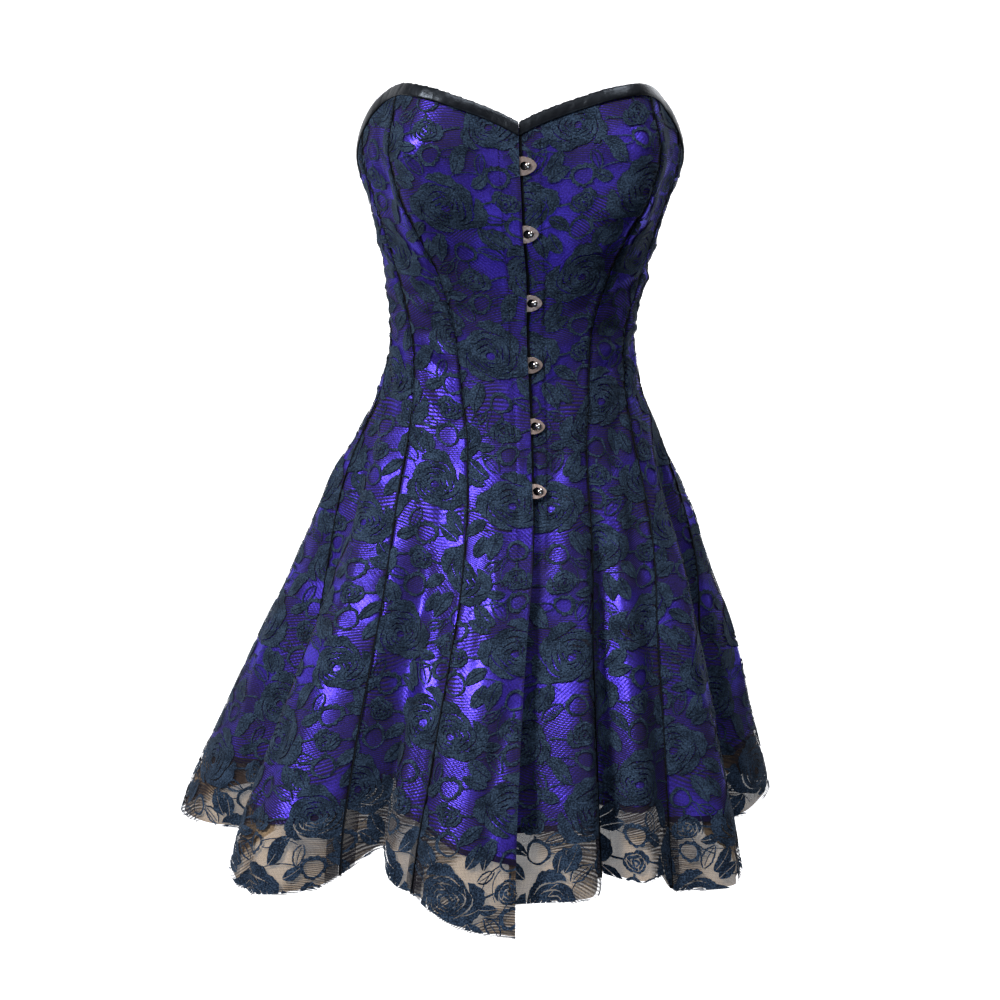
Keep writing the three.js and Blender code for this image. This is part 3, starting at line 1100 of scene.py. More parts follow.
@dataclass(frozen=True)
class BindingFinish:
    """Black satin on the bias, with fine pulls along the fold."""

    name: str = "binding_satin"
    colour: Triple = (0.003, 0.0034, 0.005)

    def material(self) -> Material:
        """Make the material.

        Returns:
            The material.
        """
        sketch = Sketch(self.name)
        place = sketch.cloth()
        pulls = sketch.noise(Vector=place, Scale=260.0, Detail=3.0, Distortion=0.6)
        weave = sketch.bands("DIAGONAL", Vector=place, Scale=380.0)
        sketch.set(
            Base_Color=(*self.colour, 1),
            Roughness=0.36,
            Specular_IOR_Level=0.4,
            Specular_Tint=(0.72, 0.84, 1.0, 1),
        )
        sketch.bump(sketch.lift(weave, 0.12, pulls), 0.5, 0.0006)
        return sketch.material


@dataclass(frozen=True)
class SteelFinish:
    """Nickel-plated busk steel, brushed and a little worn."""

    name: str = "busk_steel"
    worn: Triple = (0.34, 0.25, 0.22)
    plated: Triple = (0.50, 0.41, 0.38)
    smooth: float = 0.42
    wear: float = 0.16

    def material(self) -> Material:
        """Make the material.

        Returns:
            The material.
        """
        sketch = Sketch(self.name)
        place = sketch.body()
        wear = sketch.noise(Vector=place, Scale=420.0, Detail=5.0, Roughness=0.7)
        scratch = sketch.noise(Vector=place, Scale=2600.0, Detail=2.0)
        shade = sketch.ramp(wear, 0.38, 0.62)
        rough = self.smooth + self.wear
        sketch.set(
            Base_Color=sketch.blend(shade, self.worn, self.plated),
            Metallic=1.0,
            Roughness=sketch.ramp(wear, 0.3, 0.7, rough, self.smooth),
        )
        sketch.bump(scratch, 0.15, 0.0001)
        return sketch.material


@dataclass(frozen=True)
class ThreadFinish:
    """Dark sewing thread with a twist."""

    name: str = "sewing_thread"
    colour: Triple = (0.003, 0.004, 0.007)

    def material(self) -> Material:
        """Make the material.

        Returns:
            The material.
        """
        sketch = Sketch(self.name)
        place = sketch.body()
        twist = sketch.bands("DIAGONAL", Vector=place, Scale=600.0)
        sketch.set(Base_Color=(*self.colour, 1), Roughness=0.85, Specular_IOR_Level=0.2)
        sketch.bump(twist, 0.6, 0.0002)
        return sketch.material


@dataclass(frozen=True)
class Palette:
    """Every material of the dress."""

    satin: Material
    # The hem band's satin, darkened as painted shade
    hem: Material
    backing: Material
    net: Material
    motif: Material
    binding: Material
    facing: Material
    folded: Material
    steel: Material
    stud: Material
    thread: Material

    @classmethod
    def mixed(cls) -> Palette:
        """Make all the materials.

        Returns:
            The palette.
        """
        # The hem band's satin is a much darker copy of the violet satin: painted shade along the
        # satin's hem.
        shaded = SatinFinish("hem_satin", (0.006, 0.003, 0.035), (0.012, 0.006, 0.07))
        tan, umber = (0.44, 0.31, 0.18), (0.055, 0.036, 0.028)
        facing = NetFinish("facing_net", umber, tan, wave=0.0031, thin=0.82, thick=0.95)
        slate, black = (0.010, 0.013, 0.020), (0.006, 0.008, 0.012)
        folded = NetFinish("folded_net", slate, black, thin=0.6, thick=0.9)
        polished = SteelFinish("stud_nickel", (0.62, 0.58, 0.56), (0.86, 0.84, 0.83), 0.12)
        return cls(
            SatinFinish().material(),
            shaded.material(),
            BackingFinish().material(),
            NetFinish().material(),
            MotifFinish().material(),
            BindingFinish().material(),
            facing.material(),
            folded.material(),
            SteelFinish().material(),
            polished.material(),
            ThreadFinish().material(),
        )


class Petal(NamedTuple):
    """A petal: its ring in the rose, where it starts and how far it sweeps in degrees, how far
    its tip reaches as a share of the ring's outer edge, and its scallops."""

    ring: int
    start: float
    sweep: float
    reach: float = 1.0
    scallops: int = 0


class Rose(NamedTuple):
    """A rose on the flat cloth: its middle, radius and turn in degrees."""

    across: float
    down: float
    radius: float
    turn: float


class LeafKind(Enum):
    """How a leaf is worked."""

    CLOSE = "close"
    OPEN = "open"


class Leaf(NamedTuple):
    """A leaf on the flat cloth: its foot, heading in degrees, length, width and working."""

    across: float
    down: float
    heading: float
    length: float
    width: float
    kind: LeafKind = LeafKind.CLOSE


class Ring(NamedTuple):
    """A ring on the flat cloth: its middle, radii, turn in degrees, band and scallops."""

    across: float
    down: float
    long: float
    short: float
    turn: float
    band: float
    scallops: int


class Stem(NamedTuple):
    """A stem: where it starts, its heading, length, bend in degrees, and its width."""

    across: float
    down: float
    heading: float
    length: float
    bend: float
    width: float


RING_EDGES = (0.11, 0.23, 0.36, 0.51, 0.68, 1.0)
OUTER_RING = 4

PETALS = (
    Petal(0, 20, 360),
    Petal(1, 40, 205),
    Petal(1, 245, 155),
    Petal(2, 10, 128),
    Petal(2, 138, 112),
    Petal(2, 250, 120),
    Petal(3, 50, 96),
    Petal(3, 146, 84),
    Petal(3, 230, 102),
    Petal(3, 332, 78),
    Petal(4, 0, 60, 1.00, 3),
    Petal(4, 60, 42, 0.86, 2),
    Petal(4, 102, 62, 1.05, 3),
    Petal(4, 164, 46, 0.89, 2),
    Petal(4, 210, 58, 1.02, 3),
    Petal(4, 268, 42, 0.84, 2),
    Petal(4, 310, 50, 1.04, 3),
)

BUD_PETALS = (
    Petal(1, 30, 360),
    Petal(3, 0, 120),
    Petal(3, 120, 130),
    Petal(3, 250, 110),
    Petal(4, 30, 90, 1.0, 2),
    Petal(4, 120, 80, 0.9, 2),
    Petal(4, 200, 100, 1.05, 2),
    Petal(4, 300, 90, 0.92, 2),
)

ROSES = (
    Rose(0, 0, 31, 0),
    Rose(56, 73, 28, 130),
    Rose(57, 3, 11.5, 40),
    Rose(2, 74, 12.5, 250),
)

LEAVES = (
    Leaf(27, 15, 33, 25, 13),
    Leaf(15, 27, 64, 29, 15),
    Leaf(-19, 25, 122, 29, 15),
    Leaf(-27, 15, 160, 22, 12, LeafKind.OPEN),
    Leaf(25, -19, -30, 24, 13),
    Leaf(12, -29, -60, 25, 13, LeafKind.OPEN),
    Leaf(-15, -27, -122, 28, 14),
    Leaf(-28, -14, -155, 20, 12),
    Leaf(78, 91, 36, 25, 13),
    Leaf(66, 99, 70, 22, 12, LeafKind.OPEN),
    Leaf(39, 96, 126, 26, 14),
    Leaf(30, 85, 168, 18, 10),
    Leaf(80, 57, -34, 25, 13, LeafKind.OPEN),
    Leaf(70, 48, -66, 23, 13),
    Leaf(40, 50, -122, 24, 13),
    Leaf(31, 62, -160, 18, 11, LeafKind.OPEN),
)

RINGS = (
    Ring(57, 28, 11.5, 10.5, 20, 2.6, 0),
    Ring(57, -21, 11, 9.5, -30, 2.4, 11),
    Ring(1, 47, 10.5, 9.5, 60, 2.6, 0),
    Ring(2, -46, 9.5, 8.5, 0, 2.2, 9),
    Ring(84, 33, 7.5, 6, 40, 1.8, 0),
    Ring(28, 112, 7, 6, -40, 1.8, 0),
)

STEMS = (
    Stem(30, 4, 6, 17, -20, 2.4),
    Stem(-30, 2, 176, 15, 30, 2.2),
    Stem(57, 14, 100, 6, 0, 2.2),
    Stem(2, 62, -88, 4.5, 0, 2.0),
    Stem(27, 76, 182, 13, 24, 2.2),
    Stem(84, 74, -4, 17, 30, 2.0),
    Stem(66, 30, 10, 12, 10, 1.2),
    Stem(67, 24, -18, 38, 70, 1.0),
    Stem(46, 26, 200, 36, -60, 1.1),
    Stem(10, 50, 30, 38, 60, 1.2),
    Stem(10, 54, 48, 30, 70, 1.0),
    Stem(-9, 48, 170, 40, -70, 1.1),
    Stem(47, -20, 176, 17, 40, 1.1),
    Stem(68, -22, -30, 40, 60, 1.2),
    Stem(11, -46, -10, 38, 50, 1.0),
    Stem(-7, -48, 200, 36, -60, 1.1),
    Stem(90, 98, 20, 14, -40, 1.2),
    Stem(24, 100, 200, 34, 60, 1.1),
)


@dataclass(frozen=True)
class PetalForm:
    """How the petals of a rose depart from plain rings.

    Waves, lobes, lean and eye are shares of the radius or of the petal's depth; gap, bridge and
    spacing are millimetres.
    """

    gap: float = 0.8
    bridge: float = 3.3
    bridged_above: float = 0.25
    bridge_lap: float = -0.1
    spacing: float = 0.85
    slant: float = 26.0
    wave: Pair = (0.028, 0.02)
    lobe: float = 0.13
    rounding: float = 0.38
    lean: Pair = (0.09, 0.05)
    eye: Pair = (0.10, 0.12)
    bud_under: float = 20.0


@dataclass
class LacePattern:
    """The repeat of the lace: roses, leaves, rings and stems on flat cloth, in millimetres.

    The lifts say how far each kind of motif lies over the lace's face, and pairs are the heights
    of a slower and a faster wave or of plain and scalloped edges.
    """

    across: float = 112.0
    down: float = 142.0
    petal: PetalForm = PetalForm()
    leaf_bend: float = 26.0
    teeth: float = 5.5
    tooth: float = 0.16
    vein: float = 0.28
    rib: float = 0.4
    outline: float = 1.6
    ring_bumps: Pair = (0.3, 1.5)
    ring_wobble: Pair = (0.07, 0.05)
    ring_swell: float = 0.35
    stem_step: float = 3.0
    knot: float = 0.18
    knot_pitch: float = 6.0
    taper: float = 0.3
    rose_lift: float = 0.26
    ring_drop: float = 0.02
    leaf_lift: float = 0.14
    rib_lift: float = 0.11
    ring_lift: float = 0.08
    stem_lift: float = 0.04
    points: list[Array] = field(default_factory=list)
    quads: list[Array] = field(default_factory=list)
    lifts: list[Array] = field(default_factory=list)
    count: int = 0

    def __post_init__(self) -> None:
        """Draw one repeat."""
        for rose in ROSES:
            for petal in BUD_PETALS if rose.radius < self.petal.bud_under else PETALS:
                self.draw_petal(rose, petal)
        for leaf in LEAVES:
            self.draw_leaf(leaf)
        for ring in RINGS:
            self.draw_ring(ring)
        for stem in STEMS:
            self.draw_stem(stem)

    def add(self, grid: Array, lift: float) -> None:
        """Add a patch.

        Args:
            grid: Its points in rows and columns.
            lift: How far it lies over the rest, in millimetres.
        """
        rows, columns = grid.shape[:2]
        self.points.append(grid.reshape(-1, 2))
        self.quads.append(grid_quads(rows, columns, False) + self.count)
        self.lifts.append(np.full(rows * columns, lift))
        self.count += rows * columns

    def draw_petal(self, rose: Rose, petal: Petal) -> None:
        """Draw a petal, with a broken gap between it and the ring inside it.

        Args:
            rose: Its rose.
            petal: The petal.
        """
        form, size, gap = self.petal, rose.radius, self.petal.gap / rose.radius
        outermost = petal.ring == OUTER_RING
        closed = size < form.bud_under and not outermost
        inner = RING_EDGES[petal.ring - 1 if closed else petal.ring]
        outer = RING_EDGES[petal.ring + 1] * petal.reach
        length = math.radians(petal.sweep) * (inner + outer) / 2 * size
        t = np.linspace(0, 1, max(8, round(length / form.spacing)))
        layers = np.linspace(0, 1, 4 if outermost else 2)[:, None]
        trim = np.degrees(gap / 2 / np.maximum(inner + (outer - inner) * layers, 0.05))
        sweep = petal.start + form.slant * layers + trim + (petal.sweep - 2 * trim) * t
        if petal.ring == 0:
            sweep = petal.start + petal.sweep * t * np.ones_like(layers)
        turn = np.radians(sweep + rose.turn)
        slow, fast = form.wave
        wave = slow * np.cos(3 * turn + petal.ring) + fast * np.cos(5 * turn - size)
        run = turn * inner * size
        bridges = np.cos(2 * math.pi * run / form.bridge + 0.8 * np.sin(3 * turn))
        bridged = (bridges > form.bridged_above) & (petal.ring > 0)
        near = inner + wave * (inner > 0.2) + np.where(bridged, form.bridge_lap, 0.5) * gap
        far = outer + wave * (outer < 0.9) - 0.5 * gap
        if outermost:
            lobes = 1 - form.lobe * (1 - np.abs(np.sin(math.pi * petal.scallops * t)) ** 0.6)
            bulge = np.sin(math.pi * np.clip(t, 0.03, 0.97)) ** 0.45
            far = near + (outer - inner) * (1 - form.rounding + form.rounding * bulge) * lobes
        radius = (near * (1 - layers) + far * layers) * size
        twice, thrice = form.lean
        lean = twice * np.cos(2 * turn + 0.7) + thrice * np.cos(3 * turn + rose.turn)
        radius = radius * (1 + lean)
        across = rose.across + radius * np.cos(turn) + form.eye[0] * (size - radius)
        down = rose.down + radius * np.sin(turn) + form.eye[1] * (size - radius)
        grid = np.stack([across, down], axis=-1)
        self.add(grid, self.rose_lift - self.ring_drop * petal.ring)

    def draw_leaf(self, leaf: Leaf) -> None:
        """Draw a leaf in two toothed halves with a vein between them.

        Args:
            leaf: The leaf.
        """
        t = np.linspace(0, 1, 15)
        spine, aside = self.route(leaf, leaf.heading + self.leaf_bend * (t - 0.3))
        teeth = 1 - self.tooth * np.mod(self.teeth * t + 0.15, 1)
        half = leaf.width / 2 * np.sin(math.pi * t**0.85) ** 0.75 * teeth
        half = np.maximum(half, self.rib)[:, None]
        for side in (-aside, aside):
            inner = np.full_like(half, self.vein)
            if leaf.kind is LeafKind.OPEN:
                inner = np.maximum(half - self.outline, inner)
            inner = np.minimum(inner, half * 0.85)
            self.add(np.stack([spine + side * inner, spine + side * half], axis=1), self.leaf_lift)
        if leaf.kind is LeafKind.OPEN:
            rib, aside = spine[2:-2], aside[2:-2] * self.rib
            self.add(np.stack([rib - aside, rib + aside], axis=1), self.rib_lift)

    def draw_ring(self, ring: Ring) -> None:
        """Draw a ring.

        Args:
            ring: The ring.
        """
        turn = np.linspace(0, 2 * math.pi, 8 * max(ring.scallops, 5) + 1)
        tilt = math.radians(ring.turn)
        plain, scalloped = self.ring_bumps
        bumps = plain * np.sin(6 * turn)
        if ring.scallops:
            bumps = scalloped * np.abs(np.sin(turn * ring.scallops / 2))
        twice, thrice = self.ring_wobble
        wobble = twice * ring.long * np.cos(2 * turn + ring.down)
        wobble = wobble + thrice * ring.long * np.cos(3 * turn + ring.across)
        band = ring.band * (1 + self.ring_swell * np.cos(turn + ring.turn))
        rings = []
        for out in (wobble - band, wobble + bumps):
            x, y = (ring.long + out) * np.cos(turn), (ring.short + out) * np.sin(turn)
            across = ring.across + x * math.cos(tilt) - y * math.sin(tilt)
            down = ring.down + x * math.sin(tilt) + y * math.cos(tilt)
            rings.append(np.stack([across, down], axis=-1))
        self.add(np.stack(rings, axis=1), self.ring_lift)

    def draw_stem(self, stem: Stem) -> None:
        """Draw a stem as a ribbon that thins out.

        Args:
            stem: The stem.
        """
        t = np.linspace(0, 1, 4 + round(stem.length / self.stem_step))
        spine, aside = self.route(stem, stem.heading + stem.bend * t)
        knots = 1 + self.knot * np.sin(2 * math.pi * t * stem.length / self.knot_pitch)
        aside = aside * (stem.width / 2 * (1 - self.taper * t) * knots)[:, None]
        self.add(np.stack([spine - aside, spine + aside], axis=1), self.stem_lift)

    def route(self, motif: Leaf | Stem, heading: Array) -> tuple[Array, Array]:
        """Trace the middle line of a leaf or stem.

        Args:
            motif: The leaf or stem.
            heading: Where the line heads at each of its points, in degrees.

        Returns:
            The line's points, and the directions straight across it there.
        """
        turn = np.radians(heading)
        along = np.stack([np.cos(turn), np.sin(turn)], axis=-1)
        steps = along[:-1] * (motif.length / (len(turn) - 1))
        spine = np.concatenate([[[0, 0]], np.cumsum(steps, axis=0)]) + [motif.across, motif.down]
        return spine, np.stack([-along[:, 1], along[:, 0]], axis=-1)

    def over(self, cloth: Array, shift: Array, turn: float) -> tuple[Array, Array, Array]:
        """Repeat the pattern over a cut of cloth.

        Args:
            cloth: The points of the cut.
            shift: Where a repeat starts on it.
            turn: How far the cut is turned from the straight grain, in degrees.

        Returns:
            The points, the quads and the lifts of every repeat.
        """
        tilt = math.radians(turn)
        grain = np.array([[math.cos(tilt), math.sin(tilt)], [-math.sin(tilt), math.cos(tilt)]])
        on_grain = cloth @ grain.T - shift
        repeat = np.array([self.across, self.down])
        first = np.floor(on_grain.min(axis=0) / repeat).astype(int) - 1
        last = np.ceil(on_grain.max(axis=0) / repeat).astype(int) + 1
        points, quads, lifts = map(np.concatenate, (self.points, self.quads, self.lifts))
        cells = [(i, j) for i in range(first[0], last[0]) for j in range(first[1], last[1])]
        moved = [points + shift + repeat * np.array(cell) for cell in cells]
        numbered = [quads + len(points) * n for n in range(len(cells))]
        return np.concatenate(moved) @ grain, np.concatenate(numbered), np.tile(lifts, len(cells))


@dataclass
class ClothGore:
    """A gore cut once in satin and once in lace."""

    surface: GoreSurface
    palette: Palette
    satin_rows: int = 132
    hem_rows: int = 13
    edge: float = 0.15
    fray: float = 0.6
    backing: float = 1.1
    grain: tuple[float, ...] = (5.0, -9.0, 7.0, -4.0, 10.0)
    next_cut: Pair = (31.0, 47.0)
    first_cut: Pair = (0.0, 12.0)
    under_binding: float = 6.0
    raw_edge: float = 1.2

    @property
    def name(self) -> str:
        """The gore's name in the names of nodes and pieces."""
        return f"{self.surface.gore.name}_{self.surface.half.word}"

    def spots(self, hem_rows: int) -> tuple[Array, Array]:
        """Lay out the gore's mesh.

        Args:
            hem_rows: How many rows lie below the satin's hem.

        Returns:
            The shares of the width and the heights of its vertices, in rows and columns.
        """
        form, half = self.surface.form, self.surface.half
        share = np.linspace(0, 1, self.surface.gore.columns + 1)[None, :]
        row = np.arange(self.satin_rows + hem_rows + 1)[:, None]
        z = np.zeros(np.broadcast_shapes(share.shape, row.shape))
        for _ in range(self.surface.HEM_ROUNDS):
            angle = self.surface.angle(share, z)
            top, bottom = form.neckline(angle), form.hems[half](angle)
            satin = top + (bottom + OVERHANG - top) * row / self.satin_rows
            below = bottom + OVERHANG - OVERHANG * (row - self.satin_rows) / max(hem_rows, 1)
            z = np.where(row <= self.satin_rows, satin, below)
        inset = self.edge / self.surface.width(z)
        return inset + share * (1 - 2 * inset), z

    def cut_cloth(self, name: str, share: Array, z: Array, level: float) -> Piece:
        """Make a layer of the gore.

        Args:
            name: The piece's name.
            share: The shares of its vertices.
            z: Their heights.
            level: How far outside the satin's face it lies.

        Returns:
            The piece.
        """
        points, flat = self.surface.place(share, z, level), self.surface.flat(share, z)
        quads = grid_quads(*share.shape, self.surface.half is Half.RIGHT)
        return make_mesh(name, points, quads, flat)

    def declare(self, share: Array, z: Array) -> None:
        """Work out where the piece's vertices lie on the flat cloth; nothing uses the result.

        Args:
            share: The shares of its vertices.
            z: Their heights.
        """
        flat = self.surface.flat(share, z) * MM

    def build_satin(self) -> Piece:
        """Build the satin, backed with twill.

        Returns:
            The piece.
        """
        share, z = self.spots(0)
        piece = self.cut_cloth(f"satin_{self.name}_cloth", share, z, 0.0)
        join_dress(piece, [self.palette.satin, self.palette.backing], f"satin_{self.name}")
        wall = piece.modifiers.new("backing", "SOLIDIFY")
        wall.thickness = self.backing * MM
        wall.offset = -1
        wall.material_offset = 1
        wall.material_offset_rim = 1
        self.declare(share, z)
        return piece

    def build_net(self) -> Piece:
        """Build the lace's net, with its raw hem.


        Returns:
            The piece.
        """
        share, z = self.spots(self.hem_rows)
        column = np.arange(share.shape[1])[None, :]
        wander = np.sin(column * 1.7 + self.surface.half.value) + 0.6 * np.sin(column * 3.9)
        row = np.arange(share.shape[0])[:, None]
        last = self.satin_rows + self.hem_rows
        z = z + self.fray * wander * smoothstep(self.satin_rows, last, row)
        piece = self.cut_cloth(f"lace_{self.name}_net", share, z, NET_LEVEL)
        join_dress(piece, [self.palette.net], f"lace_{self.name}")
        self.declare(share, z)
        return piece

    def build_motifs(self, pattern: LacePattern) -> Piece:
        """Build the lace's roses and leaves, cut off where the gore ends.

        Args:
            pattern: The lace's repeat.

        Returns:
            The piece.
        """
        surface = self.surface
        share, z = self.spots(self.hem_rows)
        cloth = surface.flat(share, z).reshape(-1, 2)
        left = surface.half is Half.LEFT
        number = GORES.index(surface.gore) + len(GORES) * left
        shift = np.array(self.next_cut) * number + self.first_cut
        turn = self.grain[number % len(self.grain)]
        flat, quads, lifts = pattern.over(cloth, shift, turn)
        share, z, past = surface.unflat(flat)
        angle = surface.angle(share, z)
        top = surface.form.neckline(angle) - self.under_binding
        bottom = surface.form.hems[surface.half](angle) + self.raw_edge
        past |= (z > top) | (z < bottom)
        kept = quads[~past[quads].all(axis=1)]
        used, kept = np.unique(kept, return_inverse=True)
        inset = 2 * self.edge / surface.width(z[used])
        share = np.clip(share[used], inset, 1 - inset)
        z = np.clip(z[used], bottom[used], top[used])
        points = surface.place(share, z, MOTIF_LEVEL + lifts[used])
        kept = kept.reshape(-1, 4)
        kept = kept[:, ::-1] if left else kept
        piece = make_mesh(f"lace_{self.name}_roses", points, kept, flat[used])
        return join_dress(piece, [self.palette.motif])


@dataclass
class NecklineBinding:
    """A strip of bias satin folded over the whole top edge, a little gathered.

    OUTLINE is its section: how far out and how far down each point lies. One degree covers
    about `degree` millimetres where the strip starts.
    """

    form: DressForm
    palette: Palette
    steps: int = 210
    degree: float = 2.3
    unfolded: float = 31.0
    ripple: float = 0.6
    pleats: Pair = (6.1, 11.7)
    sewn: float = 9.0
    inner_leg: float = 1.9

    OUTLINE = (
        (2.3, 9.6), (2.8, 8.8), (3.0, 6.8), (3.0, 4.4), (2.8, 2.2), (2.4, 0.4), (1.6, -1.0),
        (0.6, -1.7), (-0.3, -1.9), (-1.3, -1.6), (-2.3, -0.7), (-2.8, 1.0), (-2.9, 3.6),
        (-2.9, 6.4), (-2.7, 8.8), (-2.4, 9.6), (-1.8, 9.4), (-1.8, 5.0), (-1.8, 0.4),
        (-0.1, 0.2), (1.6, 0.4), (1.6, 5.0), (1.6, 9.4),
    )  # fmt: skip

    def path(self) -> list[tuple[Half, Array]]:
        """List the angles that the strip passes."""
        angles = np.linspace(FRONT_GAP / 2 / self.degree, 180, self.steps)
        return [(Half.LEFT, angles), (Half.RIGHT, angles[::-1][1:])]

    def build(self) -> Piece:
        """Build the strip.

        Returns:
            The piece.
        """
        outline = np.array(self.OUTLINE)
        rings = []
        for half, angles in self.path():
            angle = angles[:, None]
            drop = np.maximum(outline[:, 1], 0) * self.form.stretch(half, angle)
            height = self.form.neckline(angle) - drop
            rings.append(self.lifted(half, np.broadcast_to(angle, height.shape), height, outline))
        points = np.concatenate(rings)
        length = running_length(points[:, 3])
        self.gather(points, length, outline)
        quads = grid_quads(len(points), len(outline), True, wrap=True)
        flat = np.stack(np.meshgrid(running_length(outline), length / MM), axis=-1)[..., ::-1]
        piece = make_mesh("neckline_binding_cloth", points, quads, flat)
        self.close_ends(piece, len(outline), len(points))
        cloths = [self.palette.binding, self.palette.thread]
        join_dress(piece, cloths, "neckline_binding")
        return piece

    def lifted(self, half: Half, angle: Array, height: Array, outline: Array) -> Array:
        """Place the strip's section on the top edge.

        Args:
            half: Which half of the dress.
            angle: Degrees from the front edge, a row for each section.
            height: The heights of the section's points.
            outline: How far out and down each point lies.

        Returns:
            The points in metres.
        """
        face = self.form.face(half, angle, height)
        aside = self.form.face(half, angle + 1, height) - self.form.face(half, angle - 1, height)
        up = self.form.face(half, angle, height + RISE)
        up = up - self.form.face(half, angle, height - RISE)
        outward = np.cross(aside * half.value, up)
        outward /= np.linalg.norm(outward, axis=-1, keepdims=True)
        out, down = outline[:, :1], outline[:, 1]
        points = face + outward * out
        points[..., 2] += np.maximum(-down, 0) + CLEARANCE * (down < 1)
        return points * MM

    def gather(self, points: Array, length: Array, outline: Array) -> None:
        """Ripple the outside of the strip.

        Args:
            points: The strip's points in metres, which are moved.
            length: How far along the strip each section lies, in metres.
            outline: How far out and down each point of a section lies.
        """
        out, down = outline.T
        run = length[:, None] / MM
        lean = 2 * math.pi * (run + down * 0.5)
        fine, broad = self.pleats
        wave = 0.55 * np.sin(lean / fine + 1.3 * np.sin(run / 19))
        wave = wave + 0.45 * np.sin(lean / broad + 2 * np.sin(run / 31))
        wave = wave * (0.55 + 0.45 * np.sin(run / 43 + 1.2))
        free = (down < self.sewn) & (np.abs(out) > self.inner_leg) | (down < 0)
        middle = points.mean(axis=1, keepdims=True)
        away = points - middle
        away /= np.linalg.norm(away, axis=-1, keepdims=True)
        points += away * (self.ripple * MM * wave * free)[..., None]

    def close_ends(self, piece: Piece, count: int, rings: int) -> None:
        """Close the strip where it ends at the front edges.

        Args:
            piece: The piece.
            count: How many points a section has.
            rings: How many sections there are.
        """
        shape = bmesh.new()
        shape.from_mesh(piece.data)
        shape.verts.ensure_lookup_table()
        last = (rings - 1) * count
        for end in (range(count), range(last + count - 1, last - 1, -1)):
            cap = shape.faces.new([shape.verts[i] for i in end])
            cap.material_index = 1
            for edge in cap.edges:
                edge.smooth = False
        shape.to_mesh(piece.data)
        shape.free()


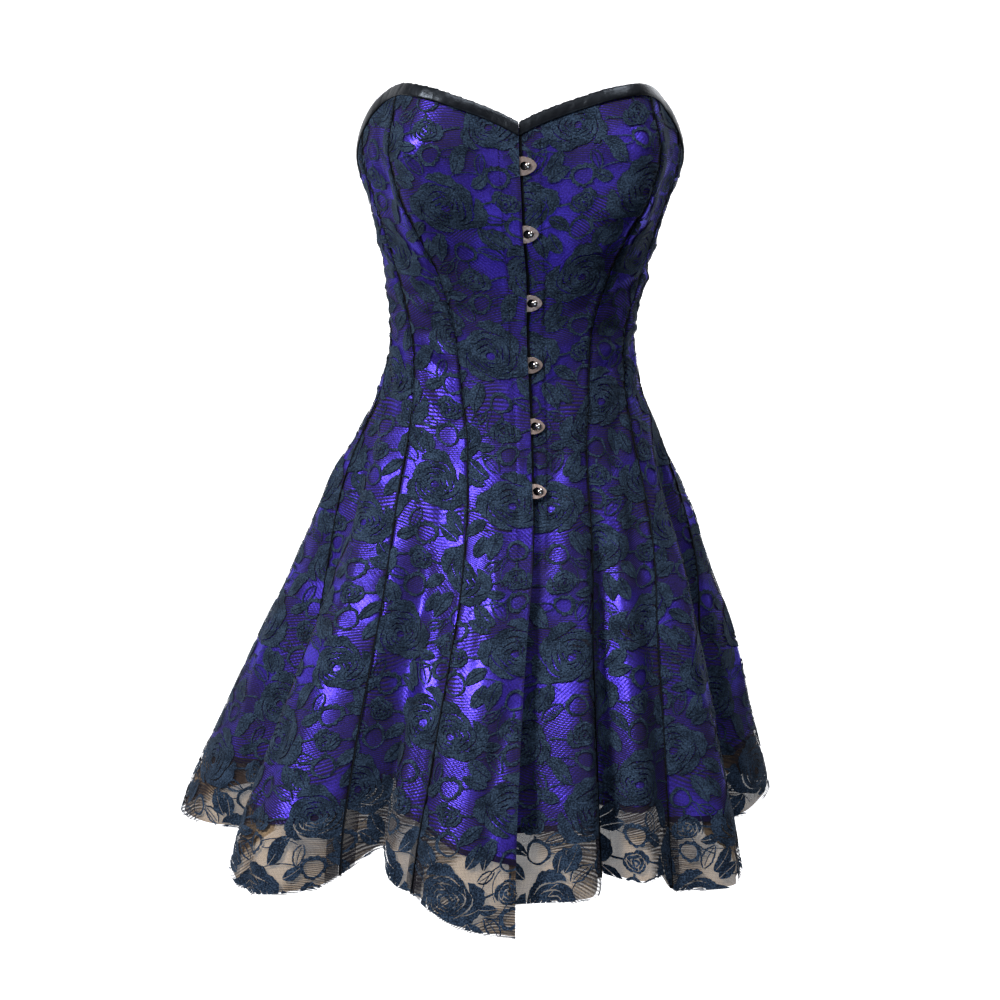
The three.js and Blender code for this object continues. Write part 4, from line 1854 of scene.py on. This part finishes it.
@dataclass
class Busk:
    """Six keyhole loops on the wearer's right edge, hooked over six domed studs."""

    form: DressForm
    palette: Palette
    heights: tuple[float, ...] = (156.6, 95.3, 32.8, -23.8, -79, -136.2)
    half: float = 8.5
    straight: float = 3.5
    reach: float = 15.5
    thick: float = 1.0
    under: float = 1.2
    gap: float = 0.5
    hole_centre: float = 4.3
    hole_radius: float = 3.9
    slot: float = 1.75
    stud: float = 7.1
    head: float = 3.1
    dome: float = 2.2
    noses: tuple[float, ...] = (1.0, 0.9, 0.86, 0.8, 0.76, 0.72)
    softened: float = 0.22
    post: float = 1.3
    collar: float = 2.3
    lip: float = 0.2
    brim: float = 0.45
    deepest: float = -9.0
    sides: int = 28

    def frame(self, z: float) -> Matrix:
        """Find the place of a loop.

        Args:
            z: Its height in millimetres.

        Returns:
            The matrix from the loop's own millimetres to metres in the model's frame.
        """
        angle = FRONT_GAP / 2 / float(self.form.degree(Half.RIGHT, np.float64(0), z))
        across, up, outward = self.form.frame(Half.RIGHT, angle, z)
        right = up.cross(outward).normalized()
        face = Vector(self.form.face(Half.RIGHT, np.float64(angle), z))
        origin = (face - outward * self.under + across * self.gap) * MM
        turn = Matrix((right, up, outward)).transposed().to_4x4()
        return Matrix.Translation(origin) @ turn @ Matrix.Scale(MM, 4)

    def plate_outline(self, nose: float) -> list[Pair]:
        """Draw the loop's outline, a square foot with a bluntly pointed nose.

        Args:
            nose: How far the nose and the sides reach, as a share of the largest loop's.

        Returns:
            Its points in millimetres, anticlockwise from the lower back corner.
        """
        half = self.half * (0.4 + 0.6 * nose)
        reach = self.stud + (self.reach - self.stud) * nose
        rises = np.sin(np.linspace(-math.pi / 2, math.pi / 2, 27))[1:-1]
        deep = reach - self.straight
        bow = [(self.straight + deep * (1 - abs(r) ** 1.8) ** 0.68, half * r) for r in rises]
        return [(0, -half), (self.straight, -half), *bow, (self.straight, half), (0, half)]

    def keyhole(self) -> list[Pair]:
        """Draw the hole: a round end for the stud's head and a slot that holds its post.

        Returns:
            Its points in millimetres.
        """
        meet = math.asin(self.slot / self.hole_radius)
        big = np.linspace(meet, 2 * math.pi - meet, 24)
        small = np.linspace(-math.pi / 2, math.pi / 2, 9)
        ends = ((self.hole_centre, self.hole_radius, big), (self.stud, self.slot, small))
        return [(x + r * math.cos(a), r * math.sin(a)) for x, r, turn in ends for a in turn]

    def build_loop(self, number: int, z: float) -> Piece:
        """Build a loop with softened edges.

        Args:
            number: Which loop, from the top.
            z: Its height in millimetres.

        Returns:
            The piece.
        """
        drawing = bpy.data.curves.new("loop", "CURVE")
        drawing.dimensions = "2D"
        drawing.fill_mode = "BOTH"
        drawing.extrude = self.thick / 2 - self.softened
        drawing.bevel_depth = self.softened
        drawing.bevel_resolution = 2
        drawing.offset = -self.softened
        for outline in (self.plate_outline(self.noses[number - 1]), self.keyhole()):
            spline = drawing.splines.new("POLY")
            spline.points.add(len(outline) - 1)
            for point, (x, y) in zip(spline.points, outline):
                point.co = (x, y, self.thick / 2, 1)
            spline.use_cyclic_u = True
        sketch = bpy.data.objects.new("loop", drawing)
        bpy.context.collection.objects.link(sketch)
        solid = sketch.evaluated_get(bpy.context.evaluated_depsgraph_get())
        mesh = bpy.data.meshes.new_from_object(solid)
        bpy.data.objects.remove(sketch)
        mesh.transform(self.frame(z))
        piece = bpy.data.objects.new(f"busk_loop_{number}_steel", mesh)
        return self.finish(piece, f"busk_loop_{number}", self.palette.steel)

    def build_stud(self, number: int, z: float) -> Piece:
        """Build a stud: a post, a thin rim and a dome.

        Args:
            number: Which stud, from the top.
            z: Its height in millimetres.

        Returns:
            The piece.
        """
        frame = self.frame(z)
        inverse = frame.inverted()
        corners = itertools.product(*zip(*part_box(f"busk_stud_{number}")))
        lowest = min((inverse @ Vector(corner)).z for corner in corners)
        foot = max(lowest + CLEARANCE, self.deepest)
        shelf = self.thick + CLEARANCE
        turn = np.linspace(0, math.pi / 2, 8)
        brim = shelf + self.brim
        dome = [(self.head * math.cos(a), brim + self.dome * math.sin(a)) for a in turn]
        rim = [(self.collar, shelf), (self.head, shelf + self.lip)]
        profile = [(self.post, foot), (self.post, shelf), *rim, *dome]
        shape = bmesh.new()
        around = [2 * math.pi * i / self.sides for i in range(self.sides)]
        rings = []
        for out, height in profile[:-1]:
            spots = [(self.stud + out * math.cos(a), out * math.sin(a), height) for a in around]
            rings.append([shape.verts.new(spot) for spot in spots])
        following = [*range(1, self.sides), 0]
        for lower, upper in zip(rings, rings[1:]):
            for i, j in enumerate(following):
                shape.faces.new((lower[i], lower[j], upper[j], upper[i])).smooth = True
        crown = shape.verts.new((self.stud, 0, profile[-1][1]))
        for i, j in enumerate(following):
            shape.faces.new((rings[-1][i], rings[-1][j], crown)).smooth = True
        shape.faces.new(rings[0][::-1])
        mesh = bpy.data.meshes.new(f"busk_stud_{number}_steel")
        shape.to_mesh(mesh)
        shape.free()
        mesh.transform(frame)
        piece = bpy.data.objects.new(mesh.name, mesh)
        return self.finish(piece, f"busk_stud_{number}", self.palette.stud)

    def finish(self, piece: Piece, node: str, metal: Material) -> Piece:
        """Link a piece and let it stand for its node."""
        bpy.context.collection.objects.link(piece)
        return join_dress(piece, [metal], node)

    def build(self) -> list[Piece]:
        """Build every loop and stud.

        Returns:
            The pieces.
        """
        numbered = list(enumerate(self.heights, start=1))
        loops = [self.build_loop(number, z) for number, z in numbered]
        return loops + [self.build_stud(number, z) for number, z in numbered]


# A stitch is a thin box of eight corners, four round its foot and four round its tip
STITCH_CORNERS = 8
STITCH_FACES = np.array(
    [[0, 3, 2, 1], [4, 5, 6, 7], [0, 1, 5, 4], [1, 2, 6, 5], [2, 3, 7, 6], [3, 0, 4, 7]]
)


class StitchRow(NamedTuple):
    """A row of stitches: its gore, the shares and heights along it, and its level."""

    surface: GoreSurface
    share: Array
    z: Array
    level: float


@dataclass
class Stitching:
    """The rows of stitches beside the busk and the seams, and above the satin's hem."""

    surfaces: list[GoreSurface]
    palette: Palette
    long: float = 2.6
    pitch: float = 3.6
    thick: float = 0.35
    step: float = 0.6
    busk_ends: Pair = (180.0, -205.0)
    inside_blade: float = 1.6
    beside_seam: float = 2.3
    below_top: float = 12.0
    bone_end: float = -112.0
    above_hem: float = 9.0
    on_lace: float = MOTIF_LEVEL + 0.4
    on_satin: float = 0.25

    def busk_rows(self) -> list[StitchRow]:
        """Lay a row beside each front edge, from the binding to below the last loop.

        Returns:
            The rows.
        """
        rows = []
        for surface in self.surfaces:
            if surface.gore.start is None:
                z = np.arange(*self.busk_ends, -self.step)
                away = surface.relief_of.blade_edge(z) - self.inside_blade
                rows.append(StitchRow(surface, away / surface.width(z), z, self.on_lace))
        return rows

    def seam_rows(self) -> list[StitchRow]:
        """Lay a row on both sides of every seam of the bodice.

        Returns:
            The rows.
        """
        rows = []
        for surface in self.surfaces:
            for end in surface.gore.seamed_sides():
                z = np.arange(surface.top(end) - self.below_top, self.bone_end, -self.step)
                share = np.abs(end - self.beside_seam / surface.width(z))
                rows.append(StitchRow(surface, share, z, self.on_lace))
        return rows

    def hem_rows(self) -> list[StitchRow]:
        """Lay a row above the satin's hem on every gore.

        Returns:
            The rows.
        """
        share = np.linspace(0.01, 0.99, 420)
        above = OVERHANG + self.above_hem
        return [
            StitchRow(surface, share, surface.above_hem(share, above), self.on_satin)
            for surface in self.surfaces
        ]

    def sew(self, row: StitchRow) -> list[Array]:
        """Place the stitches of a row.

        Args:
            row: The row.

        Returns:
            The eight corners of each stitch, in millimetres.
        """
        surface, share, z, level = row
        route = surface.place(share, z, level) / MM
        lifted = surface.place(share, z, level + 1) / MM
        run = running_length(route)
        corners = []
        for start in np.arange(0, run[-1] - self.long, self.pitch):
            foot, tip, above = (
                np.array([np.interp(at, run, axis) for axis in line.T])
                for at, line in ((start, route), (start + self.long, route), (start, lifted))
            )
            above = (above - foot) * self.thick / 2
            aside = np.cross((tip - foot) / np.linalg.norm(tip - foot), above)
            sides = (-aside - above, aside - above, aside + above, -aside + above)
            corners += [end + side for end in (foot, tip) for side in sides]
        return corners

    def build(self) -> Piece:
        """Build all the stitches as one piece.

        Returns:
            The piece.
        """
        rows = self.busk_rows() + self.seam_rows() + self.hem_rows()
        corners = np.array([corner for row in rows for corner in self.sew(row)])
        firsts = np.arange(0, len(corners), STITCH_CORNERS)[:, None, None]
        quads = (firsts + STITCH_FACES).reshape(-1, 4)
        piece = make_mesh("topstitching", corners * MM, quads)
        return join_dress(piece, [self.palette.thread])


class Strip(NamedTuple):
    """A narrow strip of cloth on a gore: its shares and heights in rows and columns, and how far
    outside the satin's face it lies."""

    surface: GoreSurface
    share: Array
    z: Array
    level: Array | float


@dataclass
class NarrowWork:
    """The narrow strips: seam piping, the lace's seam allowances, the satin's hem band, darkened
    as painted shade, and busk tape, partly a real edge tape and partly painted shade at the front
    edge and under the loops.

    Sizes are in millimetres. The margin is the share of a gore's width by which the facings and
    the satin's hem stop short of its sides.
    """

    surfaces: list[GoreSurface]
    palette: Palette
    busk_heights: tuple[float, ...]
    least_sheet: float = 0.0102
    margin: float = 0.002
    cord: float = 1.5
    cord_level: float = MOTIF_LEVEL + 1.0
    cord_ends: Pair = (8.0, 1.5)
    flange: float = 4.2
    flange_half: float = 0.06
    blade_cord: float = 0.75
    blade_cord_ends: Pair = (182.0, -172.0)
    blade_cord_level: float = MOTIF_LEVEL + 0.55
    allowance: float = 11.0
    allowance_ends: Pair = (OVERHANG - 0.6, 1.6)
    allowance_level: float = NET_LEVEL - 0.45
    facing_ends: Pair = (OVERHANG + 3, 2.4)
    facing_level: float = -SATIN - 0.4
    hem: float = 5.0
    hem_above: float = OVERHANG - 0.3
    hem_level: float = 0.14
    # The tape is partly a real edge tape and partly painted shade of the gap along the front edge.
    tape: float = 2.5
    tape_ends: Pair = (191.0, -478.0)
    tape_step: float = 1.6
    tape_levels: Pair = (-1.9, MOTIF_LEVEL + 0.36)
    # Painted shade: how much wider the tape grows under each loop, to darken the keyholes.
    eyelet: float = 7.4
    eyelet_reach: float = 5.2
    flap: Pair = (2.5, 9.0)
    flap_widens: Pair = (-200.0, -150.0)

    def join(self, name: str, strips: list[Strip], material: Material) -> Piece:
        """Join strips into one piece.

        Args:
            name: The piece's name.
            strips: The strips.
            material: Their material.

        Returns:
            The piece.
        """
        points, quads, flats, count = [], [], [], 0
        for surface, share, z, level in strips:
            places = surface.place(share, z, level)
            quads.append(grid_quads(*share.shape, surface.half is Half.RIGHT) + count)
            points.append(places.reshape(-1, 3))
            flats.append(surface.flat(np.clip(share, 0, 1), z).reshape(-1, 2))
            count += share.size
            sides = np.linalg.norm(np.diff(places, axis=0), axis=-1).mean(axis=1)
            widths = np.linalg.norm(np.diff(places, axis=1), axis=-1).sum(axis=1)
        piece = make_mesh(name, *map(np.concatenate, (points, quads, flats)))
        join_dress(piece, [material])
        return piece

    def across_overhang(
        self, surface: GoreSurface, share: Array, ends: Pair, rows: int, level: float
    ) -> Strip:
        """Lay a strip from one distance above the lace's hem to another.

        Args:
            surface: The gore.
            share: The shares of its columns, in one row.
            ends: How far above the hem its upper and lower edges lie.
            rows: How many rows of points it has.
            level: How far outside the satin's face it lies.

        Returns:
            The strip.
        """
        row = np.linspace(0, 1, rows)[:, None]
        share = share + 0 * row
        top, bottom = (surface.above_hem(share, above) for above in ends)
        return Strip(surface, share, top + (bottom - top) * row, level)

    def seam_piping(self) -> list[Strip]:
        """Lay a dark cord over every seam, its flange sewn in, and a thinner one by the blades.

        Returns:
            The strips.
        """
        strips = []
        side, flange = self.cord / 2, self.flange_half
        across = np.array([[-side, -flange, -flange, flange, flange, side]])
        level = self.cord_level - self.flange * np.array([0, 0, 1, 1, 0, 0])
        for surface in self.surfaces:
            if surface.gore.end is None and surface.half is Half.LEFT:
                continue
            from_top, above_hem = self.cord_ends
            low = surface.above_hem(1.0, above_hem)
            z = np.linspace(surface.top(1) - from_top, low, 190)[:, None]
            strips.append(Strip(surface, 1 + across / surface.width(z), z + 0 * across, level))
        for surface in self.surfaces:
            if surface.gore.start is None:
                z = np.linspace(*self.blade_cord_ends, 150)[:, None]
                away = surface.relief_of.blade_edge(z) + np.array([[-0.5, 0.5]]) * self.blade_cord
                share = away / surface.width(z)
                strips.append(Strip(surface, share, z + 0 * away, self.blade_cord_level))
        return strips

    def allowances(self) -> list[Strip]:
        """Lay the lace's allowances inside both sides of every seam, below the satin's hem.

        Returns:
            The strips.
        """
        across = np.linspace(0.1, self.allowance, 4)[None, :]
        return [
            self.across_overhang(
                surface, np.abs(end - across / surface.width(HEM_GUESS)),
                self.allowance_ends, 14, self.allowance_level,
            )
            for surface in self.surfaces
            for end in surface.gore.seamed_sides()
        ]  # fmt: skip

    def facings(self) -> list[Strip]:
        """Lay a second layer of net inside the lace that hangs below the satin.

        Returns:
            The strips.
        """
        strips = []
        for surface in self.surfaces:
            share = np.linspace(self.margin, 1 - self.margin, surface.gore.columns + 1)[None, :]
            ends, level = self.facing_ends, self.facing_level
            strips.append(self.across_overhang(surface, share, ends, 10, level))
        return strips

    def satin_hems(self) -> list[Strip]:
        """Lay a turned band along the satin's hem, in the darker hem satin that paints the shade
        along the hem.

        Returns:
            The strips.
        """
        strips = []
        rise = np.array([[0.0, 0.5, 1.0]]) * self.hem
        for surface in self.surfaces:
            share = np.linspace(self.margin, 1 - self.margin, 2 * surface.gore.columns + 1)
            share = share[:, None] + 0 * rise
            low = surface.above_hem(share, self.hem_above)
            strips.append(Strip(surface, share, low + rise, self.hem_level))
        return strips

    def busk_tape(self) -> list[Strip]:
        """Lay a black tape round the left front edge, wider under each loop, with a flap inside.
        It is partly a real edge tape and partly painted shade: the dark line along the front edge
        and the wide patches under the loops, which darken the keyholes.

        Returns:
            The strips.
        """
        surface = next(s for s in self.surfaces if s.half is Half.LEFT and s.gore.start is None)
        z = np.arange(*self.tape_ends, -self.tape_step)[:, None]
        width = self.tape + 0 * z
        # Widen the tape under each loop as painted shade in the keyholes.
        for height in self.busk_heights:
            width = width + self.eyelet * bell(z - height, self.eyelet_reach)
        away = width * [[0.0, 0.0, 0.0, 0.5, 1.0]] + [[0.0, 0.2, 0.3, 0.3, 0.3]]
        narrow, wider = self.flap
        away[:, :1] = -narrow - wider * smoothstep(*self.flap_widens, z)
        inside, outside = self.tape_levels
        level = np.array([inside, inside, outside, outside, outside])
        return [Strip(surface, away / surface.width(z), z + 0 * away, level)]

    def build(self) -> list[Piece]:
        """Build every kind of strip.

        Returns:
            The pieces.
        """
        return [
            self.join("seam_piping", self.seam_piping(), self.palette.thread),
            self.join("lace_seam_allowances", self.allowances(), self.palette.folded),
            self.join("lace_hem_facing", self.facings(), self.palette.facing),
            # The hem band is darkened as painted shade.
            self.join("satin_hem_band", self.satin_hems(), self.palette.hem),
            self.join("busk_tape", self.busk_tape(), self.palette.thread),
        ]


@dataclass
class Dress:
    """The whole dress, gore by gore and piece by piece."""

    form: DressForm
    palette: Palette
    relief: SeamRelief = field(default_factory=SeamRelief)

    def build(self) -> list[Piece]:
        """Build every piece.

        Returns:
            The pieces.
        """
        pattern = LacePattern()
        cuts = itertools.product(Half, GORES)
        surfaces = [GoreSurface(self.form, half, gore, self.relief) for half, gore in cuts]
        pieces = [NecklineBinding(self.form, self.palette).build()]
        for surface in surfaces:
            gore = ClothGore(surface, self.palette)
            roses = gore.build_motifs(pattern)
            pieces += [gore.build_satin(), gore.build_net(), roses]
        busk = Busk(self.form, self.palette)
        pieces += busk.build()
        pieces.append(Stitching(surfaces, self.palette).build())
        pieces += NarrowWork(surfaces, self.palette, busk.heights).build()
        return pieces


class SoftLight(NamedTuple):
    """A large square light: its place and size in metres, its power and its colour."""

    name: str
    place: Triple
    size: float
    power: float
    colour: Triple


@dataclass
class Studio:
    """A pale sweep of floor and backdrop, soft lights, and the photograph's camera.

    The camera's place is in millimetres and degrees; the sweep's sizes are in metres.
    """

    distance: float = 2190.0
    height: float = 106.0
    azimuth: float = -5.0
    lens: float = 82.72
    tilt: float = 6.8737
    aside: float = 14.0
    sensor: float = 36.0
    floor: float = -1.15
    near: float = 0.7
    bend: float = 2.2
    radius: float = 1.5
    top: float = 6.0
    half_width: float = 9.0
    target: Triple = (0.0, 0.0, -0.12)
    white: float = 1.0
    dim: float = 0.035
    lights: tuple[SoftLight, ...] = (
        SoftLight("key", (-1.78, -1.72, 1.6), 0.65, 104, (1.0, 0.98, 0.96)),
        SoftLight("low", (0.2, -2.3, -0.8), 1.2, 8, (0.76, 0.87, 1.0)),
        SoftLight("top", (0.8, -0.8, 2.2), 0.7, 34, (1.0, 1.0, 1.0)),
        SoftLight("rim", (1.4, 2.0, 1.2), 1.0, 10, (0.95, 0.97, 1.0)),
    )

    def build_camera(self) -> Piece:
        """Place the camera.

        Returns:
            The camera.
        """
        turn = math.radians(self.azimuth)
        lens = bpy.data.cameras.new("camera")
        lens.lens = self.lens
        lens.sensor_width = self.sensor
        lens.clip_end = 50
        camera = bpy.data.objects.new("camera", lens)
        x = self.distance * math.sin(turn) - self.aside * math.cos(turn)
        y = -self.distance * math.cos(turn) - self.aside * math.sin(turn)
        camera.location = Vector((x, y, self.height)) * MM
        camera.rotation_euler = Euler((math.radians(90 - self.tilt), 0, turn))
        bpy.context.collection.objects.link(camera)
        bpy.context.scene.camera = camera
        return camera

    def build_lights(self) -> None:
        """Hang the lights, each pointed at the middle of the dress, and set the world."""
        for light in self.lights:
            lamp = bpy.data.lights.new(light.name, "AREA")
            lamp.size = light.size
            lamp.energy = light.power
            lamp.color = light.colour
            hung = bpy.data.objects.new(light.name, lamp)
            hung.location = light.place
            aim = Vector(self.target) - Vector(light.place)
            hung.rotation_euler = aim.to_track_quat("-Z", "Y").to_euler()
            bpy.context.collection.objects.link(hung)
        bpy.context.scene.world = self.white_world()

    def white_world(self) -> bpy.types.World:
        """Make a world that looks white from every side and lights the dress only a little.

        Returns:
            The world.
        """
        world = bpy.data.worlds.new("world")
        world.use_nodes = True
        tree = world.node_tree
        seen = tree.nodes.new("ShaderNodeLightPath")
        strength = tree.nodes.new("ShaderNodeMath")
        strength.operation = "MULTIPLY_ADD"
        strength.inputs[1].default_value = self.white
        strength.inputs[2].default_value = self.dim
        tree.links.new(seen.outputs["Is Camera Ray"], strength.inputs[0])
        tree.links.new(strength.outputs[0], tree.nodes["Background"].inputs[1])
        tree.nodes["Background"].inputs[0].default_value = (0.97, 0.98, 1.0, 1)
        return world

    def build_sweep(self) -> Piece:
        """Build the floor, which curves up into the backdrop.

        Returns:
            The sweep.
        """
        turn = np.linspace(0, math.pi / 2, 24)
        y = self.bend + self.radius * np.sin(turn)
        z = self.floor + self.radius * (1 - np.cos(turn))
        profile = [(self.near, self.floor), *zip(y, z), (self.bend + self.radius, self.top)]
        points = [(x, y, z) for y, z in profile for x in (-self.half_width, self.half_width)]
        sweep = make_mesh("backdrop", np.array(points), grid_quads(len(profile), 2, True))
        sketch = Sketch("pale_paper")
        place = sketch.body()
        grain = sketch.noise(Vector=place, Scale=60.0, Detail=3.0)
        tone = sketch.ramp(grain, 0.4, 0.6)
        sketch.set(
            Base_Color=sketch.blend(tone, (0.86, 0.86, 0.87), (0.88, 0.88, 0.885)),
            Roughness=0.95,
            Emission_Color=(0.96, 0.97, 1.0, 1),
            Emission_Strength=0.9,
        )
        sweep.data.materials.append(sketch.material)
        return sweep

    def build(self) -> None:
        """Build the camera, the sweep and the lights."""
        self.build_camera()
        self.build_sweep()
        self.build_lights()
        view = bpy.context.scene.view_settings
        view.view_transform = "Standard"
        view.look = "None"


def main() -> None:
    """Dress the frame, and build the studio."""
    logging.basicConfig(level=logging.INFO, format="%(message)s")
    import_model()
    Studio().build()
    pieces = Dress(DressForm(), Palette.mixed()).build()
    for piece in pieces:
        log.info("%s: %d faces", piece.name, len(piece.data.polygons))
    log.info("%d pieces, %d faces", len(pieces), sum(len(p.data.polygons) for p in pieces))
    bpy.context.view_layer.update()


if __name__ == "__main__":
    main()
